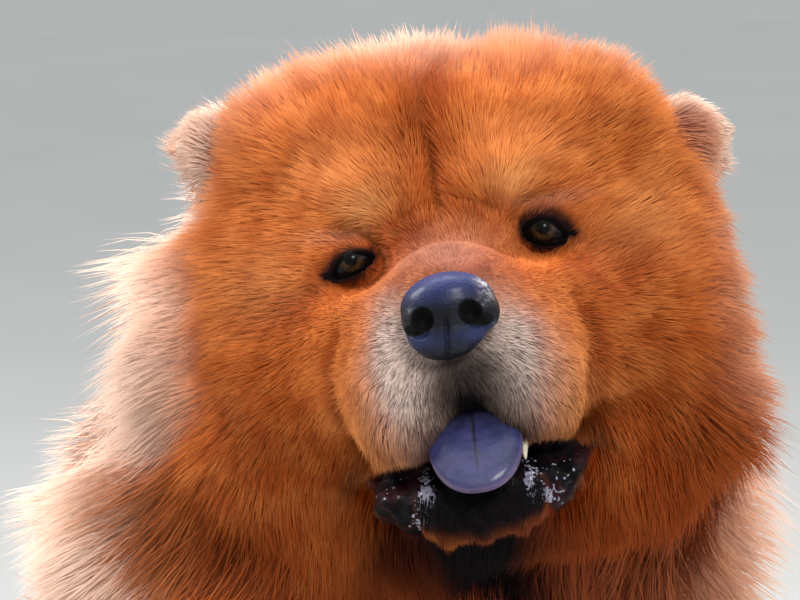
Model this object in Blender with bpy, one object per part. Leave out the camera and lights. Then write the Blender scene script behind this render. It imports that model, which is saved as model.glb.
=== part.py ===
"""A sitting chow chow, life size, as a still model parted where a person would name its parts.

Metres, +Z up. The dog faces -Y, its left side is +X, and the origin is on the floor under
the middle of the model. The surface is the outside of the coat, out to the tips of the hair.

Each part of the body is a union of egg-shaped masses, such as a cheek or a thigh, that a
voxel remesh joins and smoothing blends. Flat cuts then part the body into its nodes.
"""

import math

import bmesh
import bpy
from mathutils import Euler, Matrix, Vector

MM = 0.001
GAP = 0.3 * MM  # between neighbouring pieces

# Driving sizes of the dog, in millimetres.
EYE_HEIGHT = 585
EYE_SPACING = 85
EYE_RADIUS = 11.5
EYE_DEPTH = 8.5  # from the face's zero plane back to the eyeball's centre
MUZZLE_HALF_WIDTH = 52
NOSE_REACH = 74  # from the zero plane forward to the middle of the nose leather
HEAD_PLACE = (-42, -300, EYE_HEIGHT)  # the point midway between the eyes
HEAD_YAW, HEAD_PITCH = -24, -12  # the face turned to the dog's right, and raised
HEAD_ROLL, FACE_ROLL = -2, -10  # the crown is nearly level, and the face leans
FOREPAW = (88, -200)
HINDPAW = (146, -42)
PAW_CUT = 58  # height of the cut between a paw and its leg
ELBOW_CUT = 228  # height of the cut between the trunk and the forelegs
THIGH_CUT = 236
THIGH_INNER = 82  # the thigh is cut from the trunk at this distance from the middle
LEG_INNER = 26
LEG_BACK = -88  # the cut behind the forelegs, in front of the thighs
THIGH_BACK = 205
HOCK = 18  # the cut behind the hind paw
HINDPAW_SIZE = 0.96  # beside the forepaw

# Fineness of the surfaces: voxel size in millimetres, smoothing passes, triangles kept.
FINE_VOXEL, FINE_PASSES = 4.0, 14
BODY_VOXEL, BODY_PASSES = 8.0, 6
HEAD_TRIANGLES = 1200

# Finish of each kind of sub-part: base colour, roughness.
FINISHES = {
    "coat": ((0.55, 0.20, 0.06), 0.9),
    "nose_leather": ((0.02, 0.022, 0.03), 0.4),
    "eye": ((0.03, 0.016, 0.008), 0.08),
    "tongue": ((0.10, 0.09, 0.19), 0.35),
    "tooth": ((0.80, 0.77, 0.66), 0.3),
    "claw": ((0.05, 0.04, 0.035), 0.45),
}


def turned(yaw, pitch, roll):
    """Yaw about Z, then pitch and roll about the turned axes, in degrees."""
    return (
        Matrix.Rotation(math.radians(yaw), 4, "Z")
        @ Matrix.Rotation(math.radians(pitch), 4, "X")
        @ Matrix.Rotation(math.radians(roll), 4, "Y")
    )


IN_MM = Matrix.Scale(MM, 4)
EYES_AT = Matrix.Translation(Vector(HEAD_PLACE) * MM)
BODY = IN_MM
HEAD = EYES_AT @ turned(HEAD_YAW, HEAD_PITCH, HEAD_ROLL) @ IN_MM
FACE = EYES_AT @ turned(HEAD_YAW, HEAD_PITCH, FACE_ROLL) @ IN_MM

# Cuts across the body, as frames whose z axis points out of the cut.
HEAD_SEAM = HEAD @ Matrix.Translation((0, 112, -60)) @ Matrix.Rotation(math.radians(50), 4, "X")
NECK_SEAM = BODY @ Matrix.Translation((0, -100, 452)) @ Matrix.Rotation(math.radians(30), 4, "X")
FAR = 700
BEYOND = (-FAR, -FAR, 0), (FAR, FAR, FAR)  # the half of space past a cut
BEFORE = (-FAR, -FAR, -FAR), (FAR, FAR, 0)


# ---------------------------------------------------------------- making shapes


def clear_scene():
    for obj in list(bpy.data.objects):
        bpy.data.objects.remove(obj)


def finish(name):
    """The material of one kind of sub-part, made once."""
    found = bpy.data.materials.get(name)
    if found:
        return found
    colour, roughness = FINISHES[name]
    made = bpy.data.materials.new(name)
    made.use_nodes = True
    shader = made.node_tree.nodes["Principled BSDF"]
    shader.inputs["Base Color"].default_value = (*colour, 1)
    shader.inputs["Roughness"].default_value = roughness
    return made


def link(name, mesh, slot="coat"):
    obj = bpy.data.objects.new(name, mesh)
    bpy.context.scene.collection.objects.link(obj)
    mesh.materials.clear()
    mesh.materials.append(finish(slot))
    return obj


def apply_modifiers(obj):
    """Bakes the modifiers into the object's mesh."""
    graph = bpy.context.evaluated_depsgraph_get()
    mesh = bpy.data.meshes.new_from_object(obj.evaluated_get(graph))
    obj.modifiers.clear()
    obj.data = mesh
    return obj


def mass(shape, frame, centre, radii, turn=(0, 0, 0), fineness=4):
    """Adds one egg-shaped mass to a shape. Sizes are millimetres in the frame."""
    place = Matrix.LocRotScale(Vector(centre), Euler(map(math.radians, turn)), Vector(radii))
    bmesh.ops.create_icosphere(
        shape, subdivisions=fineness, radius=1, matrix=frame @ place
    )


def pair(shape, frame, centre, radii, turn=(0, 0, 0)):
    """Two masses, mirrored about the frame's middle plane."""
    x, y, z = centre
    tilt, roll, yaw = turn
    mass(shape, frame, (x, y, z), radii, (tilt, roll, yaw))
    mass(shape, frame, (-x, y, z), radii, (tilt, -roll, -yaw))


def limb(shape, frame, stations, steps=6):
    """A rounded limb through stations of (x, y, z, radius)."""
    for (*start, thick), (*end, thin) in zip(stations, stations[1:]):
        for step in range(steps + 1):
            share = step / steps
            centre = Vector(start).lerp(Vector(end), share)
            radius = thick + (thin - thick) * share
            mass(shape, frame, centre, (radius,) * 3, fineness=3)


def blended(name, shape, voxel, passes, slot="coat"):
    """The masses of a shape as one smooth closed surface."""
    mesh = bpy.data.meshes.new(name)
    shape.to_mesh(mesh)
    shape.free()
    obj = link(name, mesh, slot)
    remesh = obj.modifiers.new("join", "REMESH")
    remesh.mode = "VOXEL"
    remesh.voxel_size = voxel * MM
    smooth = obj.modifiers.new("blend", "SMOOTH")
    smooth.factor = 0.5
    smooth.iterations = passes
    return apply_modifiers(obj)


def thinned(obj, triangles):
    """Keeps about this many triangles, most where the surface bends most."""
    count = sum(len(face.vertices) - 2 for face in obj.data.polygons)
    if count > triangles:
        obj.modifiers.new("thin", "DECIMATE").ratio = triangles / count
        apply_modifiers(obj)
    return obj


def part_of(source, name, cells, triangles, margin=12):
    """The piece of a source shape inside some blocks, thinned and then cut true."""
    obj = link(name, source.data.copy())
    for inset, keep in ((-margin, triangles), (GAP / MM / 2, None)):
        for cell in cells:
            tool = block(*cell, inset)
            carve(obj, tool, 0, "INTERSECT")
            remove(tool)
        if keep:
            thinned(obj, keep)
    return obj


def largest_body(obj):
    """Drops loose crumbs that a cut left, and keeps the largest connected body."""
    shape = bmesh.new()
    shape.from_mesh(obj.data)
    bmesh.ops.triangulate(shape, faces=shape.faces[:])
    bmesh.ops.dissolve_degenerate(shape, dist=0.00002, edges=shape.edges[:])
    unseen, bodies = set(shape.verts), []
    while unseen:
        body, edge = set(), [unseen.pop()]
        while edge:
            vert = edge.pop()
            body.add(vert)
            near = {e.other_vert(vert) for e in vert.link_edges} & unseen
            unseen -= near
            edge.extend(near)
        bodies.append(body)
    for body in sorted(bodies, key=len)[:-1]:
        bmesh.ops.delete(shape, geom=list(body), context="VERTS")
    shape.to_mesh(obj.data)
    shape.free()
    return obj


def carve(obj, tool, gap=GAP, operation="DIFFERENCE"):
    """Cuts a tool's shape, grown by the gap, out of an object."""
    grown = bpy.data.objects.new("cutter", tool.data.copy())
    bpy.context.scene.collection.objects.link(grown)
    swell = grown.modifiers.new("grow", "DISPLACE")
    swell.mid_level = 0
    swell.strength = gap
    cut = obj.modifiers.new("cut", "BOOLEAN")
    cut.operation = operation
    cut.object = grown
    apply_modifiers(obj)
    bpy.data.objects.remove(grown)
    return largest_body(obj)


def block(frame, low, high, inset):
    """A block between two corners, in millimetres of a frame, with its sides moved in."""
    low, high = Vector(low), Vector(high)
    mesh = bpy.data.meshes.new("block")
    shape = bmesh.new()
    size = high - low - Vector((2, 2, 2)) * inset
    place = Matrix.LocRotScale((low + high) / 2, None, size)
    bmesh.ops.create_cube(shape, size=1, matrix=frame @ place)
    shape.to_mesh(mesh)
    shape.free()
    return link("block", mesh)


def without(obj, frame, low, high):
    """Cuts a block out of an object, with its gap."""
    tool = block(frame, low, high, -GAP / MM / 2)
    carve(obj, tool, 0)
    remove(tool)
    return obj


def remove(*objects):
    for obj in objects:
        bpy.data.objects.remove(obj)


# ---------------------------------------------------------------- the body's masses


def head_masses(shape):
    """The skull with its crown and cheek ruff, in the coat. The turn bunches the left ruff."""
    mass(shape, HEAD, (48, 84, 50), (59, 68, 55))  # sides of the crown
    mass(shape, HEAD, (-57, 84, 58), (58, 67, 50))
    mass(shape, HEAD, (0, 80, 42), (80, 74, 63))  # top of the crown
    mass(shape, HEAD, (0, 130, 0), (104, 70, 88))  # back of the head
    mass(shape, HEAD, (74, 84, -26), (68, 70, 88))  # cheek ruff
    mass(shape, HEAD, (-66, 84, -26), (64, 70, 86))
    mass(shape, HEAD, (80, 84, -88), (76, 68, 76))  # lower ruff
    mass(shape, HEAD, (-66, 84, -88), (74, 68, 76))
    mass(shape, HEAD, (4, 76, -116), (98, 62, 66))  # throat ruff
    mass(shape, FACE, (0, 62, 42), (100, 58, 56))  # forehead
    mass(shape, FACE, (0, 46, -6), (98, 54, 64))  # front of the skull
    pair(shape, FACE, (30, 18, 24), (32, 24, 22))  # brows
    mass(shape, FACE, (0, -26, -20), (29, 50, 18))  # bridge of the muzzle
    pair(shape, FACE, (62, 38, -44), (50, 42, 52))  # cheeks beside the muzzle
    pair(shape, FACE, (46, 14, -20), (28, 22, 18))  # under the eyes
    pair(shape, FACE, (49, -11, -46), (44, 17, 36), (0, 0, 48))  # from muzzle to cheek
    muzzle = (MUZZLE_HALF_WIDTH - 2, 46, 39)
    mass(shape, FACE, (0, -22, -48), muzzle)
    pair(shape, FACE, (26, -33, -63), (MUZZLE_HALF_WIDTH - 25, 38, 31))  # lip pads
    pair(shape, FACE, (25, -51, -74), (15, 19, 15))  # rounded edges of the upper lips


def body_masses(shape):
    """Neck, mane, trunk, legs and paws, in the coat."""
    mass(shape, BODY, (-8, -150, 520), (150, 130, 122))  # nape and mane
    mass(shape, BODY, (4, -122, 425), (190, 142, 130))  # base of the mane
    mass(shape, BODY, (-6, -205, 388), (140, 98, 132))  # bib on the chest
    pair(shape, BODY, (92, -104, 350), (98, 108, 138))  # shoulders
    mass(shape, BODY, (0, -15, 350), (158, 150, 140), (40, 0, 0))  # ribs
    mass(shape, BODY, (0, 80, 265), (150, 135, 140), (45, 0, 0))  # loin
    mass(shape, BODY, (0, 150, 140), (155, 125, 142))  # rump
    mass(shape, BODY, (0, 40, 180), (118, 120, 120))  # belly
    pair(shape, BODY, (118, 82, 128), (78, 128, 112), (-18, 0, 0))  # thighs
    pair(shape, BODY, (134, 10, 62), (50, 84, 55))  # lower legs, folded flat
    pair(shape, BODY, (82, 190, 62), (72, 72, 66))  # seat
    for side in (1, -1):
        x, y = FOREPAW
        stations = [
            (side * 98, -118, 290, 68),
            (side * 94, -140, 190, 56),
            (side * x, y + 32, 90, 45),
            (side * x, y + 16, 36, 43),
        ]
        limb(shape, BODY, stations)
        paw_masses(shape, (side * x, y), 1.0)
        paw_masses(shape, (side * HINDPAW[0], HINDPAW[1]), HINDPAW_SIZE)


def toe_places(paw, size):
    """Where the four toes of a paw lie, inner to outer, in millimetres."""
    x, y = paw
    for step, reach in zip((-1.5, -0.5, 0.5, 1.5), (-24, -37, -37, -24)):
        yield x + step * 21 * size, y + reach * size, 14.5 * size


def paw_masses(shape, paw, size):
    """A round, compact foot with four toes, reaching just below the floor."""
    x, y = paw
    mass(shape, BODY, (x, y, 24), (44 * size, 52 * size, 36 * size))
    for toe in toe_places(paw, size):
        mass(shape, BODY, toe, (13.5 * size, 24 * size, 19 * size), fineness=3)


def tail_masses(shape):
    """The plumed tail, curled up from the rump and laid along the back."""
    stations = [
        (0, 205, 130, 50),
        (4, 270, 175, 62),
        (8, 285, 250, 74),
        (10, 240, 322, 82),
        (10, 172, 385, 78),
        (10, 112, 420, 56),
    ]
    limb(shape, BODY, stations, steps=6)


# ---------------------------------------------------------------- separate pieces


def eyes():
    """Two eyeballs, deep in the head."""
    made = []
    for name, side in (("eye_left", 1), ("eye_right", -1)):
        mesh = bpy.data.meshes.new(name)
        shape = bmesh.new()
        place = Matrix.Translation((side * EYE_SPACING / 2, EYE_DEPTH, 0))
        upright = Matrix.Rotation(math.radians(90), 4, "X")
        bmesh.ops.create_uvsphere(
            shape,
            u_segments=12,
            v_segments=7,
            radius=EYE_RADIUS,
            matrix=FACE @ place @ upright,
        )
        shape.to_mesh(mesh)
        shape.free()
        made.append(link(name, mesh, "eye"))
    return made


def lid_openings():
    """The almond spaces between the lids, outer corners low."""
    shape = bmesh.new()
    pair(shape, FACE, (EYE_SPACING / 2 + 2, -4, -1), (14, 11, 6.5), (0, 17, 0))
    return blended("lid_openings", shape, 1.5, 2)


def nose():
    """The nose leather with its two nostrils."""
    shape = bmesh.new()
    y = -NOSE_REACH
    mass(shape, FACE, (0, y + 2, -22), (19, 15, 11))  # the rounded top
    pair(shape, FACE, (12, y + 2, -31), (9.5, 13, 11.5))  # the wings
    mass(shape, FACE, (0, y, -38), (9, 11, 11))  # between the nostrils
    made = blended("nose", shape, 1.2, 4, "nose_leather")
    holes = bmesh.new()
    pair(holes, FACE, (10.5, y - 13, -31), (4.2, 8, 5.2), (0, 20, 0))
    nostrils = thinned(blended("nostrils", holes, 1.0, 2), 80)
    thinned(made, 260)
    carve(made, nostrils, 0)
    remove(nostrils)
    return made


def ears():
    """Small thick ears with round tips, set wide apart and deep in the coat."""
    made = []
    for name, side in (("ear_left", 1), ("ear_right", -1)):
        shape = bmesh.new()
        tilt = (0, -side * 12, 0)
        mass(shape, HEAD, (side * 84 - 2.5, 92, 50), (32, 9, 19), tilt)  # the base
        mass(shape, HEAD, (side * 110 - 2.5, 92, 53), (20, 9, 17), tilt)  # the round tip
        ear = blended(name, shape, 2.2, 3)
        cup = bmesh.new()
        mass(cup, HEAD, (side * 106 - 2.5, 82, 52), (16, 8, 12), tilt)
        hollow = thinned(blended("hollow", cup, 2.0, 2), 70)
        thinned(ear, 160)
        carve(ear, hollow, 0)
        remove(hollow)
        made.append(ear)
    return made


def mouth_space():
    """The open mouth between the lips."""
    shape = bmesh.new()
    mass(shape, FACE, (1, -44, -89), (19, 42, 20))  # under the lips' parting
    mass(shape, FACE, (-1, -22, -97), (57, 46, 12))  # between the side lips
    mass(shape, FACE, (-1, -20, -108), (52, 40, 12))
    return blended("mouth_space", shape, 2.5, 3)


def lower_jaw():
    """The dropped lower jaw with its chin pad and loose side lips."""
    shape = bmesh.new()
    mass(shape, FACE, (-1, -39, -113), (34, 26, 19))  # chin
    pair(shape, FACE, (34, -17, -108), (18, 33, 16))  # side lips
    pair(shape, FACE, (24, 10, -106), (23, 42, 17))  # sides of the jaw
    mass(shape, FACE, (0, 12, -110), (38, 42, 15))  # floor of the mouth
    return blended("lower_jaw", shape, 2.5, 4)


def tongue():
    """A broad tongue that curls over the lower lip."""
    shape = bmesh.new()
    path = [
        ((-1, 2, -88), 15, 7),
        ((-1, -16, -80), 17, 6.5),
        ((-2, -34, -77), 19, 6),
        ((-3, -50, -81), 20, 5.5),
        ((-3, -62, -88), 20.5, 5),
        ((-3, -69, -96), 18, 4.5),
    ]
    for (centre, half_width, half_thick), lean in zip(path, (-20, -12, 8, 30, 48, 62)):
        mass(shape, FACE, centre, (half_width, 13, half_thick), (lean, 0, 0), 3)
    made = blended("tongue", shape, 1.8, 4, "tongue")
    return thinned(made, 220)


def canine():
    """The one tooth that shows, beside the tongue in the lower jaw."""
    shape = bmesh.new()
    place = Matrix.Translation((20.5, -46, -90)) @ Matrix.Rotation(math.radians(8), 4, "Y")
    bmesh.ops.create_cone(
        shape,
        cap_ends=True,
        segments=10,
        radius1=3.6,
        radius2=0.9,
        depth=20,
        matrix=FACE @ place,
    )
    mesh = bpy.data.meshes.new("canine")
    shape.to_mesh(mesh)
    shape.free()
    return link("canine", mesh, "tooth")


def claws(label, paw, size):
    """Four blunt claws, one at the tip of each toe."""
    made = []
    for number, (x, y, z) in enumerate(toe_places(paw, size), start=1):
        shape = bmesh.new()
        lean = Matrix.Rotation(math.radians(70), 4, "X")
        place = Matrix.Translation((x, y - 17 * size, z - 3.5)) @ lean
        bmesh.ops.create_cone(
            shape,
            cap_ends=True,
            segments=6,
            radius1=3.4,
            radius2=1.2,
            depth=13,
            matrix=BODY @ place,
        )
        mesh = bpy.data.meshes.new("claw")
        shape.to_mesh(mesh)
        shape.free()
        made.append(link(f"claw_{label}_{number}", mesh, "claw"))
    return made


# ---------------------------------------------------------------- the whole dog


def whole_body(voxel, passes):
    shape = bmesh.new()
    head_masses(shape)
    body_masses(shape)
    return blended("whole", shape, voxel, passes)


def on_side(side, low, high):
    """A block of the body on the left side, or its mirror image on the right."""
    if side > 0:
        return BODY, low, high
    return BODY, (-high[0], low[1], low[2]), (-low[0], high[1], high[2])


def build_head(fine):
    """The head with its eyes, nose, ears and open mouth."""
    head = part_of(fine, "head", [(HEAD_SEAM, *BEYOND)], HEAD_TRIANGLES)
    mouth, jaw = mouth_space(), lower_jaw()
    thinned(mouth, 150)
    thinned(jaw, 290)
    lids = thinned(lid_openings(), 100)
    carve(head, mouth, 0)
    carve(head, jaw)
    carve(head, lids, 0)
    remove(mouth, lids)
    for piece in (*eyes(), nose(), *ears(), tongue(), canine()):
        carve(head, piece)
    for name in ("tongue", "canine"):
        carve(jaw, bpy.data.objects[name])
    return head


def build_limbs(fine, coarse, trunk):
    """Legs, thighs, paws and claws on both sides, each cut from the trunk."""
    for side, name in ((1, "left"), (-1, "right")):
        foreleg = on_side(side, (LEG_INNER, -FAR, PAW_CUT), (FAR, LEG_BACK, ELBOW_CUT))
        part_of(coarse, f"foreleg_{name}", [foreleg], 170)
        without(trunk, *on_side(side, (LEG_INNER, -FAR, -FAR), (FAR, LEG_BACK, ELBOW_CUT)))
        thigh_cell = on_side(
            side, (THIGH_INNER, LEG_BACK, 0), (FAR, THIGH_BACK, THIGH_CUT)
        )
        thigh = part_of(coarse, f"thigh_{name}", [thigh_cell], 340)
        without(trunk, *thigh_cell)
        forepaw = on_side(side, (LEG_INNER, -FAR, 0), (FAR, LEG_BACK, PAW_CUT))
        hindpaw = on_side(side, (THIGH_INNER, LEG_BACK, 0), (FAR, HOCK, PAW_CUT))
        without(thigh, *hindpaw)
        for prefix, cell, (x, y), size in (
            ("fore", forepaw, FOREPAW, 1.0),
            ("hind", hindpaw, HINDPAW, HINDPAW_SIZE),
        ):
            paw = part_of(fine, f"{prefix}paw_{name}", [cell], 215)
            for claw in claws(f"{prefix}_{name}", (side * x, y), size):
                carve(paw, claw)


def centre_on_floor():
    """Moves the whole model so that the origin lies under the middle of its outline."""
    corners = [v.co for obj in bpy.context.scene.objects for v in obj.data.vertices]
    low = Vector(min(corner[axis] for corner in corners) for axis in range(3))
    high = Vector(max(corner[axis] for corner in corners) for axis in range(3))
    away = Vector((-(low.x + high.x) / 2, -(low.y + high.y) / 2, -low.z))
    for obj in bpy.context.scene.objects:
        obj.data.transform(Matrix.Translation(away))
    print("moved by", [round(step / MM, 2) for step in away])


def build():
    clear_scene()
    fine = whole_body(FINE_VOXEL, FINE_PASSES)
    build_head(fine)
    coarse = whole_body(BODY_VOXEL, BODY_PASSES)
    behind_head = HEAD_SEAM, *BEFORE
    below_neck = NECK_SEAM, *BEFORE
    above_floor = BODY, *BEYOND
    part_of(coarse, "neck", [behind_head, (NECK_SEAM, *BEYOND)], 360)
    trunk = part_of(coarse, "trunk", [behind_head, below_neck, above_floor], 830)
    build_limbs(fine, coarse, trunk)

    plume = bmesh.new()
    tail_masses(plume)
    tail = thinned(blended("tail", plume, 7, 6), 330)
    carve(tail, trunk)
    remove(fine, coarse)
    centre_on_floor()


build()
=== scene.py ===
# %% [markdown]
# # A sitting chow chow
# A life-size chow chow sits with its head raised and turned to its right, and its mouth a
# little open. This lesson dresses the plain solids of the dog: one skin, a coat of many
# small tufts, and eyes, nose, mouth and claws as pieces of their own.
# %% Load the solids
import math

import bpy
import numpy as np
from mathutils import Euler, Matrix, Vector
from mathutils.bvhtree import BVHTree
from mathutils.kdtree import KDTree


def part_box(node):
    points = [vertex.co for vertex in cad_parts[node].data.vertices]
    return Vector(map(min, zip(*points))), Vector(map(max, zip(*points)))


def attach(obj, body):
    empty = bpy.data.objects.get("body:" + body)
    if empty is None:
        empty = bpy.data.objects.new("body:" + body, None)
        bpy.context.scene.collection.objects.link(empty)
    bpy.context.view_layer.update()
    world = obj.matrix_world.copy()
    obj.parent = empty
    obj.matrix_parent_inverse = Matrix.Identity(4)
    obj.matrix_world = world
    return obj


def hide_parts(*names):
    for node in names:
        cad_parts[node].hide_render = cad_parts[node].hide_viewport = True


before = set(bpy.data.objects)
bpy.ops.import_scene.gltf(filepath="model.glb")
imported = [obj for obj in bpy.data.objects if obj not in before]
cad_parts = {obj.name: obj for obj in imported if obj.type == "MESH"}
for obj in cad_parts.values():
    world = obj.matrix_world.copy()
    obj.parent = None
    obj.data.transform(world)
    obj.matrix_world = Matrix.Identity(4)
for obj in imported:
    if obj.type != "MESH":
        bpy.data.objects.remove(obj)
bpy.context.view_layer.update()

print("solids loaded:", len(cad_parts))

# %% [markdown]
# ## Where the face is
# A face is easiest to model in its own axes: x to the dog's left, y to the back and z up,
# in millimetres, from the point midway between the pupils. The eyeballs give that point.
# The face leans more than the crown above it, so the head has two such frames.
# %% Frames of the face and the head
MM = 0.001
HEAD_YAW, HEAD_PITCH = -24, -12
CROWN_ROLL, FACE_ROLL = -2, -10
EYE_DEPTH = 8.5  # from the face's zero plane back to the middle of an eyeball


def turned(yaw, pitch, roll):
    """Yaw about Z, then pitch and roll about the turned axes, in degrees."""
    yaw, pitch, roll = map(math.radians, (yaw, pitch, roll))
    turn = Matrix.Rotation(yaw, 4, "Z") @ Matrix.Rotation(pitch, 4, "X")
    return turn @ Matrix.Rotation(roll, 4, "Y")


def middle(node):
    low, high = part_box(node)
    return (low + high) / 2


face_turn = turned(HEAD_YAW, HEAD_PITCH, FACE_ROLL)
between_eyes = (middle("eye_left") + middle("eye_right")) / 2
between_eyes += face_turn.to_3x3() @ Vector((0, -EYE_DEPTH * MM, 0))
in_place = Matrix.Translation(between_eyes)
FACE = in_place @ face_turn @ Matrix.Scale(MM, 4)
HEAD = in_place @ turned(HEAD_YAW, HEAD_PITCH, CROWN_ROLL) @ Matrix.Scale(MM, 4)
FACE_AXES, HEAD_AXES = [np.array(axes.to_3x3().normalized()) for axes in (FACE, HEAD)]
eye_spacing = (middle("eye_left") - middle("eye_right")).length / MM


def in_face(points):
    """World points, one a row, as millimetres in the face's frame."""
    return (points - np.array(FACE.translation)) @ FACE_AXES / MM


def in_head(points):
    """The same in the frame of the crown."""
    return (points - np.array(HEAD.translation)) @ HEAD_AXES / MM


def from_face(face):
    """World points from millimetres in the face's frame."""
    return face * MM @ FACE_AXES.T + np.array(FACE.translation)


print("between the eyes:", [round(c, 4) for c in between_eyes], "spacing", round(eye_spacing, 1))

# %% [markdown]
# ## Camera
# A long lens looks a little down on the dog's face, from its right side of straight ahead.
# It is aimed just below and beside the point between the eyes, which puts the head high in
# the picture and lets the ruff fill the corners below.
# %% Camera
VIEW_AZIMUTH, VIEW_ELEVATION = math.radians(-20), math.radians(10)
VIEW_DISTANCE = 1.5
LENS, SENSOR = 154, 36
AIM_RIGHT, AIM_UP = -0.0208, -0.0241  # metres from the point between the eyes

level = math.cos(VIEW_ELEVATION)
towards_camera = Vector(
    (
        math.sin(VIEW_AZIMUTH) * level,
        -math.cos(VIEW_AZIMUTH) * level,
        math.sin(VIEW_ELEVATION),
    )
)
view_right = Vector((math.cos(VIEW_AZIMUTH), math.sin(VIEW_AZIMUTH), 0))
view_up = towards_camera.cross(view_right)
aim = between_eyes + view_right * AIM_RIGHT + view_up * AIM_UP

bpy.ops.object.camera_add(location=aim + towards_camera * VIEW_DISTANCE)
camera = bpy.context.object
camera.rotation_euler = (-towards_camera).to_track_quat("-Z", "Y").to_euler()
camera.data.lens = LENS
camera.data.sensor_width = SENSOR
bpy.context.scene.camera = camera
print("camera at", [round(c, 3) for c in camera.location], "up", [round(c, 2) for c in view_up])

# %% [markdown]
# ## Studio
# Soft light from a wide lamp before the dog shows the form without hard shadows. Lamps behind
# it catch the tips of the coat, as light from an open sky does, and give the head its pale
# outline. A very wide sun stands for an overcast sky and lights the plain pale floor evenly.
# %% Floor, lamps and surroundings
WARM, COOL, PEACH = (1.0, 0.98, 0.95), (0.95, 0.97, 1.0), (1.0, 0.94, 0.91)
# Place round the head in metres, side in metres, power in watts and colour of each square lamp.
LAMPS = {
    "key_lamp": ((-0.2, -1.8, 1.5), 0.8, 39, WARM),
    "fill_lamp": ((1.9, -1.6, 0.6), 1.8, 12, COOL),
    "rim_lamp_left": ((-1.3, 0.9, 1.1), 0.7, 32, PEACH),
    "rim_lamp_right": ((1.4, 0.7, 1.1), 0.7, 23, PEACH),
    "crown_lamp": ((0.0, 0.9, 1.7), 0.8, 14, PEACH),
}
for name, (place, size, power, light) in LAMPS.items():
    bpy.ops.object.light_add(type="AREA", location=between_eyes + Vector(place))
    lamp = bpy.context.object
    lamp.name = name
    lamp.rotation_euler = (-Vector(place)).to_track_quat("-Z", "Y").to_euler()
    lamp.data.size = size
    lamp.data.energy = power
    lamp.data.color = light

bpy.ops.object.light_add(type="SUN", rotation=(math.radians(-18), 0, 0))
overcast = bpy.context.object
overcast.name = "overcast_sky"
overcast.data.energy = 1.5
overcast.data.angle = math.radians(70)

surroundings = bpy.data.worlds.new("surroundings")
surroundings.use_nodes = True
background = surroundings.node_tree.nodes["Background"]
background.inputs["Color"].default_value = (0.80, 0.84, 0.86, 1)
background.inputs["Strength"].default_value = 0.5
bpy.context.scene.world = surroundings
bpy.context.scene.view_settings.view_transform = "Standard"

bpy.ops.mesh.primitive_plane_add(size=40, location=(0, 0, 0))
floor = bpy.context.object
floor.name = "floor"

# %% [markdown]
# ## Shader sums in Python
# A material is a graph of nodes. Written as sums in Python it can be read like the rule it
# stands for. `Value` wraps a socket, so that `mask * 0.5 + 1` adds two Math nodes, and
# `Finish` makes any other node from its type, its settings and what goes into it.
# %% Value and Finish
class Value:
    """A socket in a material that can be used in Python sums."""

    def __init__(self, finish, socket):
        self.finish, self.socket = finish, socket

    def maths(self, operation, other):
        return self.finish.node("Math", {"operation": operation}, {0: self, 1: other})

    def __add__(self, other):
        return self.maths("ADD", other)

    def __mul__(self, other):
        return self.maths("MULTIPLY", other)

    def __rsub__(self, other):
        return self * -1 + other

    __radd__, __rmul__ = __add__, __mul__

    def between(self, low, high):
        """0 up to low, 1 from high, and a smooth step between them."""
        settings = {"interpolation_type": "SMOOTHSTEP"}
        return self.finish.node("MapRange", settings, {0: self, 1: low, 2: high})


class Finish:
    """A Principled material under construction."""

    def __init__(self, name, **constants):
        self.material = bpy.data.materials.new(name)
        self.material.use_nodes = True
        self.tree = self.material.node_tree
        self.shader = self.tree.nodes["Principled BSDF"]
        for label, value in constants.items():
            self.input_named(label).default_value = value

    def input_named(self, label):
        return self.shader.inputs[label.replace("_", " ").title().replace("Ior", "IOR")]

    def node(self, kind, settings=None, inputs=None, output=0):
        """Adds a node, applies its settings, then fills or links its inputs."""
        made = self.tree.nodes.new("ShaderNode" + kind)
        for key, value in (settings or {}).items():
            setattr(made, key, value)
        for key, value in (inputs or {}).items():
            if isinstance(value, Value):
                self.tree.links.new(value.socket, made.inputs[key])
            else:
                made.inputs[key].default_value = value
        return Value(self, made.outputs[output])

    def attribute(self, name):
        return self.node("Attribute", {"attribute_name": name}, output="Fac")

    def place(self):
        """The point on the surface, in the object's own metres."""
        return self.node("TexCoord", output="Object")

    def noise(self, scale, detail=3.0, roughness=0.5):
        inputs = {"Scale": scale, "Detail": detail, "Roughness": roughness}
        return self.node("TexNoise", None, {"Vector": self.place(), **inputs})

    def mix(self, share, first, second, blend="MIX"):
        """Two colours, or a colour and a link, mixed by a share from 0 to 1."""
        settings = {"data_type": "RGBA", "blend_type": blend}
        return self.node("Mix", settings, {0: share, 6: first, 7: second}, output=2)

    def bump(self, height, distance, strength):
        inputs = {"Height": height, "Distance": distance, "Strength": strength}
        return self.node("Bump", None, inputs)

    def feed(self, **sockets):
        for label, value in sockets.items():
            self.tree.links.new(value.socket, self.input_named(label))
        return self.material


def colour(red, green, blue):
    """A colour given as it looks on a screen, from 0 to 255, for a shader's socket."""
    shares = [channel / 255 for channel in (red, green, blue)]
    linear = [s / 12.92 if s <= 0.04045 else ((s + 0.055) / 1.055) ** 2.4 for s in shares]
    return (*linear, 1.0)


print("an orange coat is", [round(c, 3) for c in colour(205, 115, 50)])

# %% Floor finish
paper = Finish("pale_paper", roughness=0.85)
grain = paper.noise(3.0, 4.0)
paper.feed(base_color=paper.mix(grain, colour(178, 181, 180), colour(188, 190, 189)))
floor.data.materials.append(paper.material)
print("floor finish:", paper.material.name)

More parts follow.
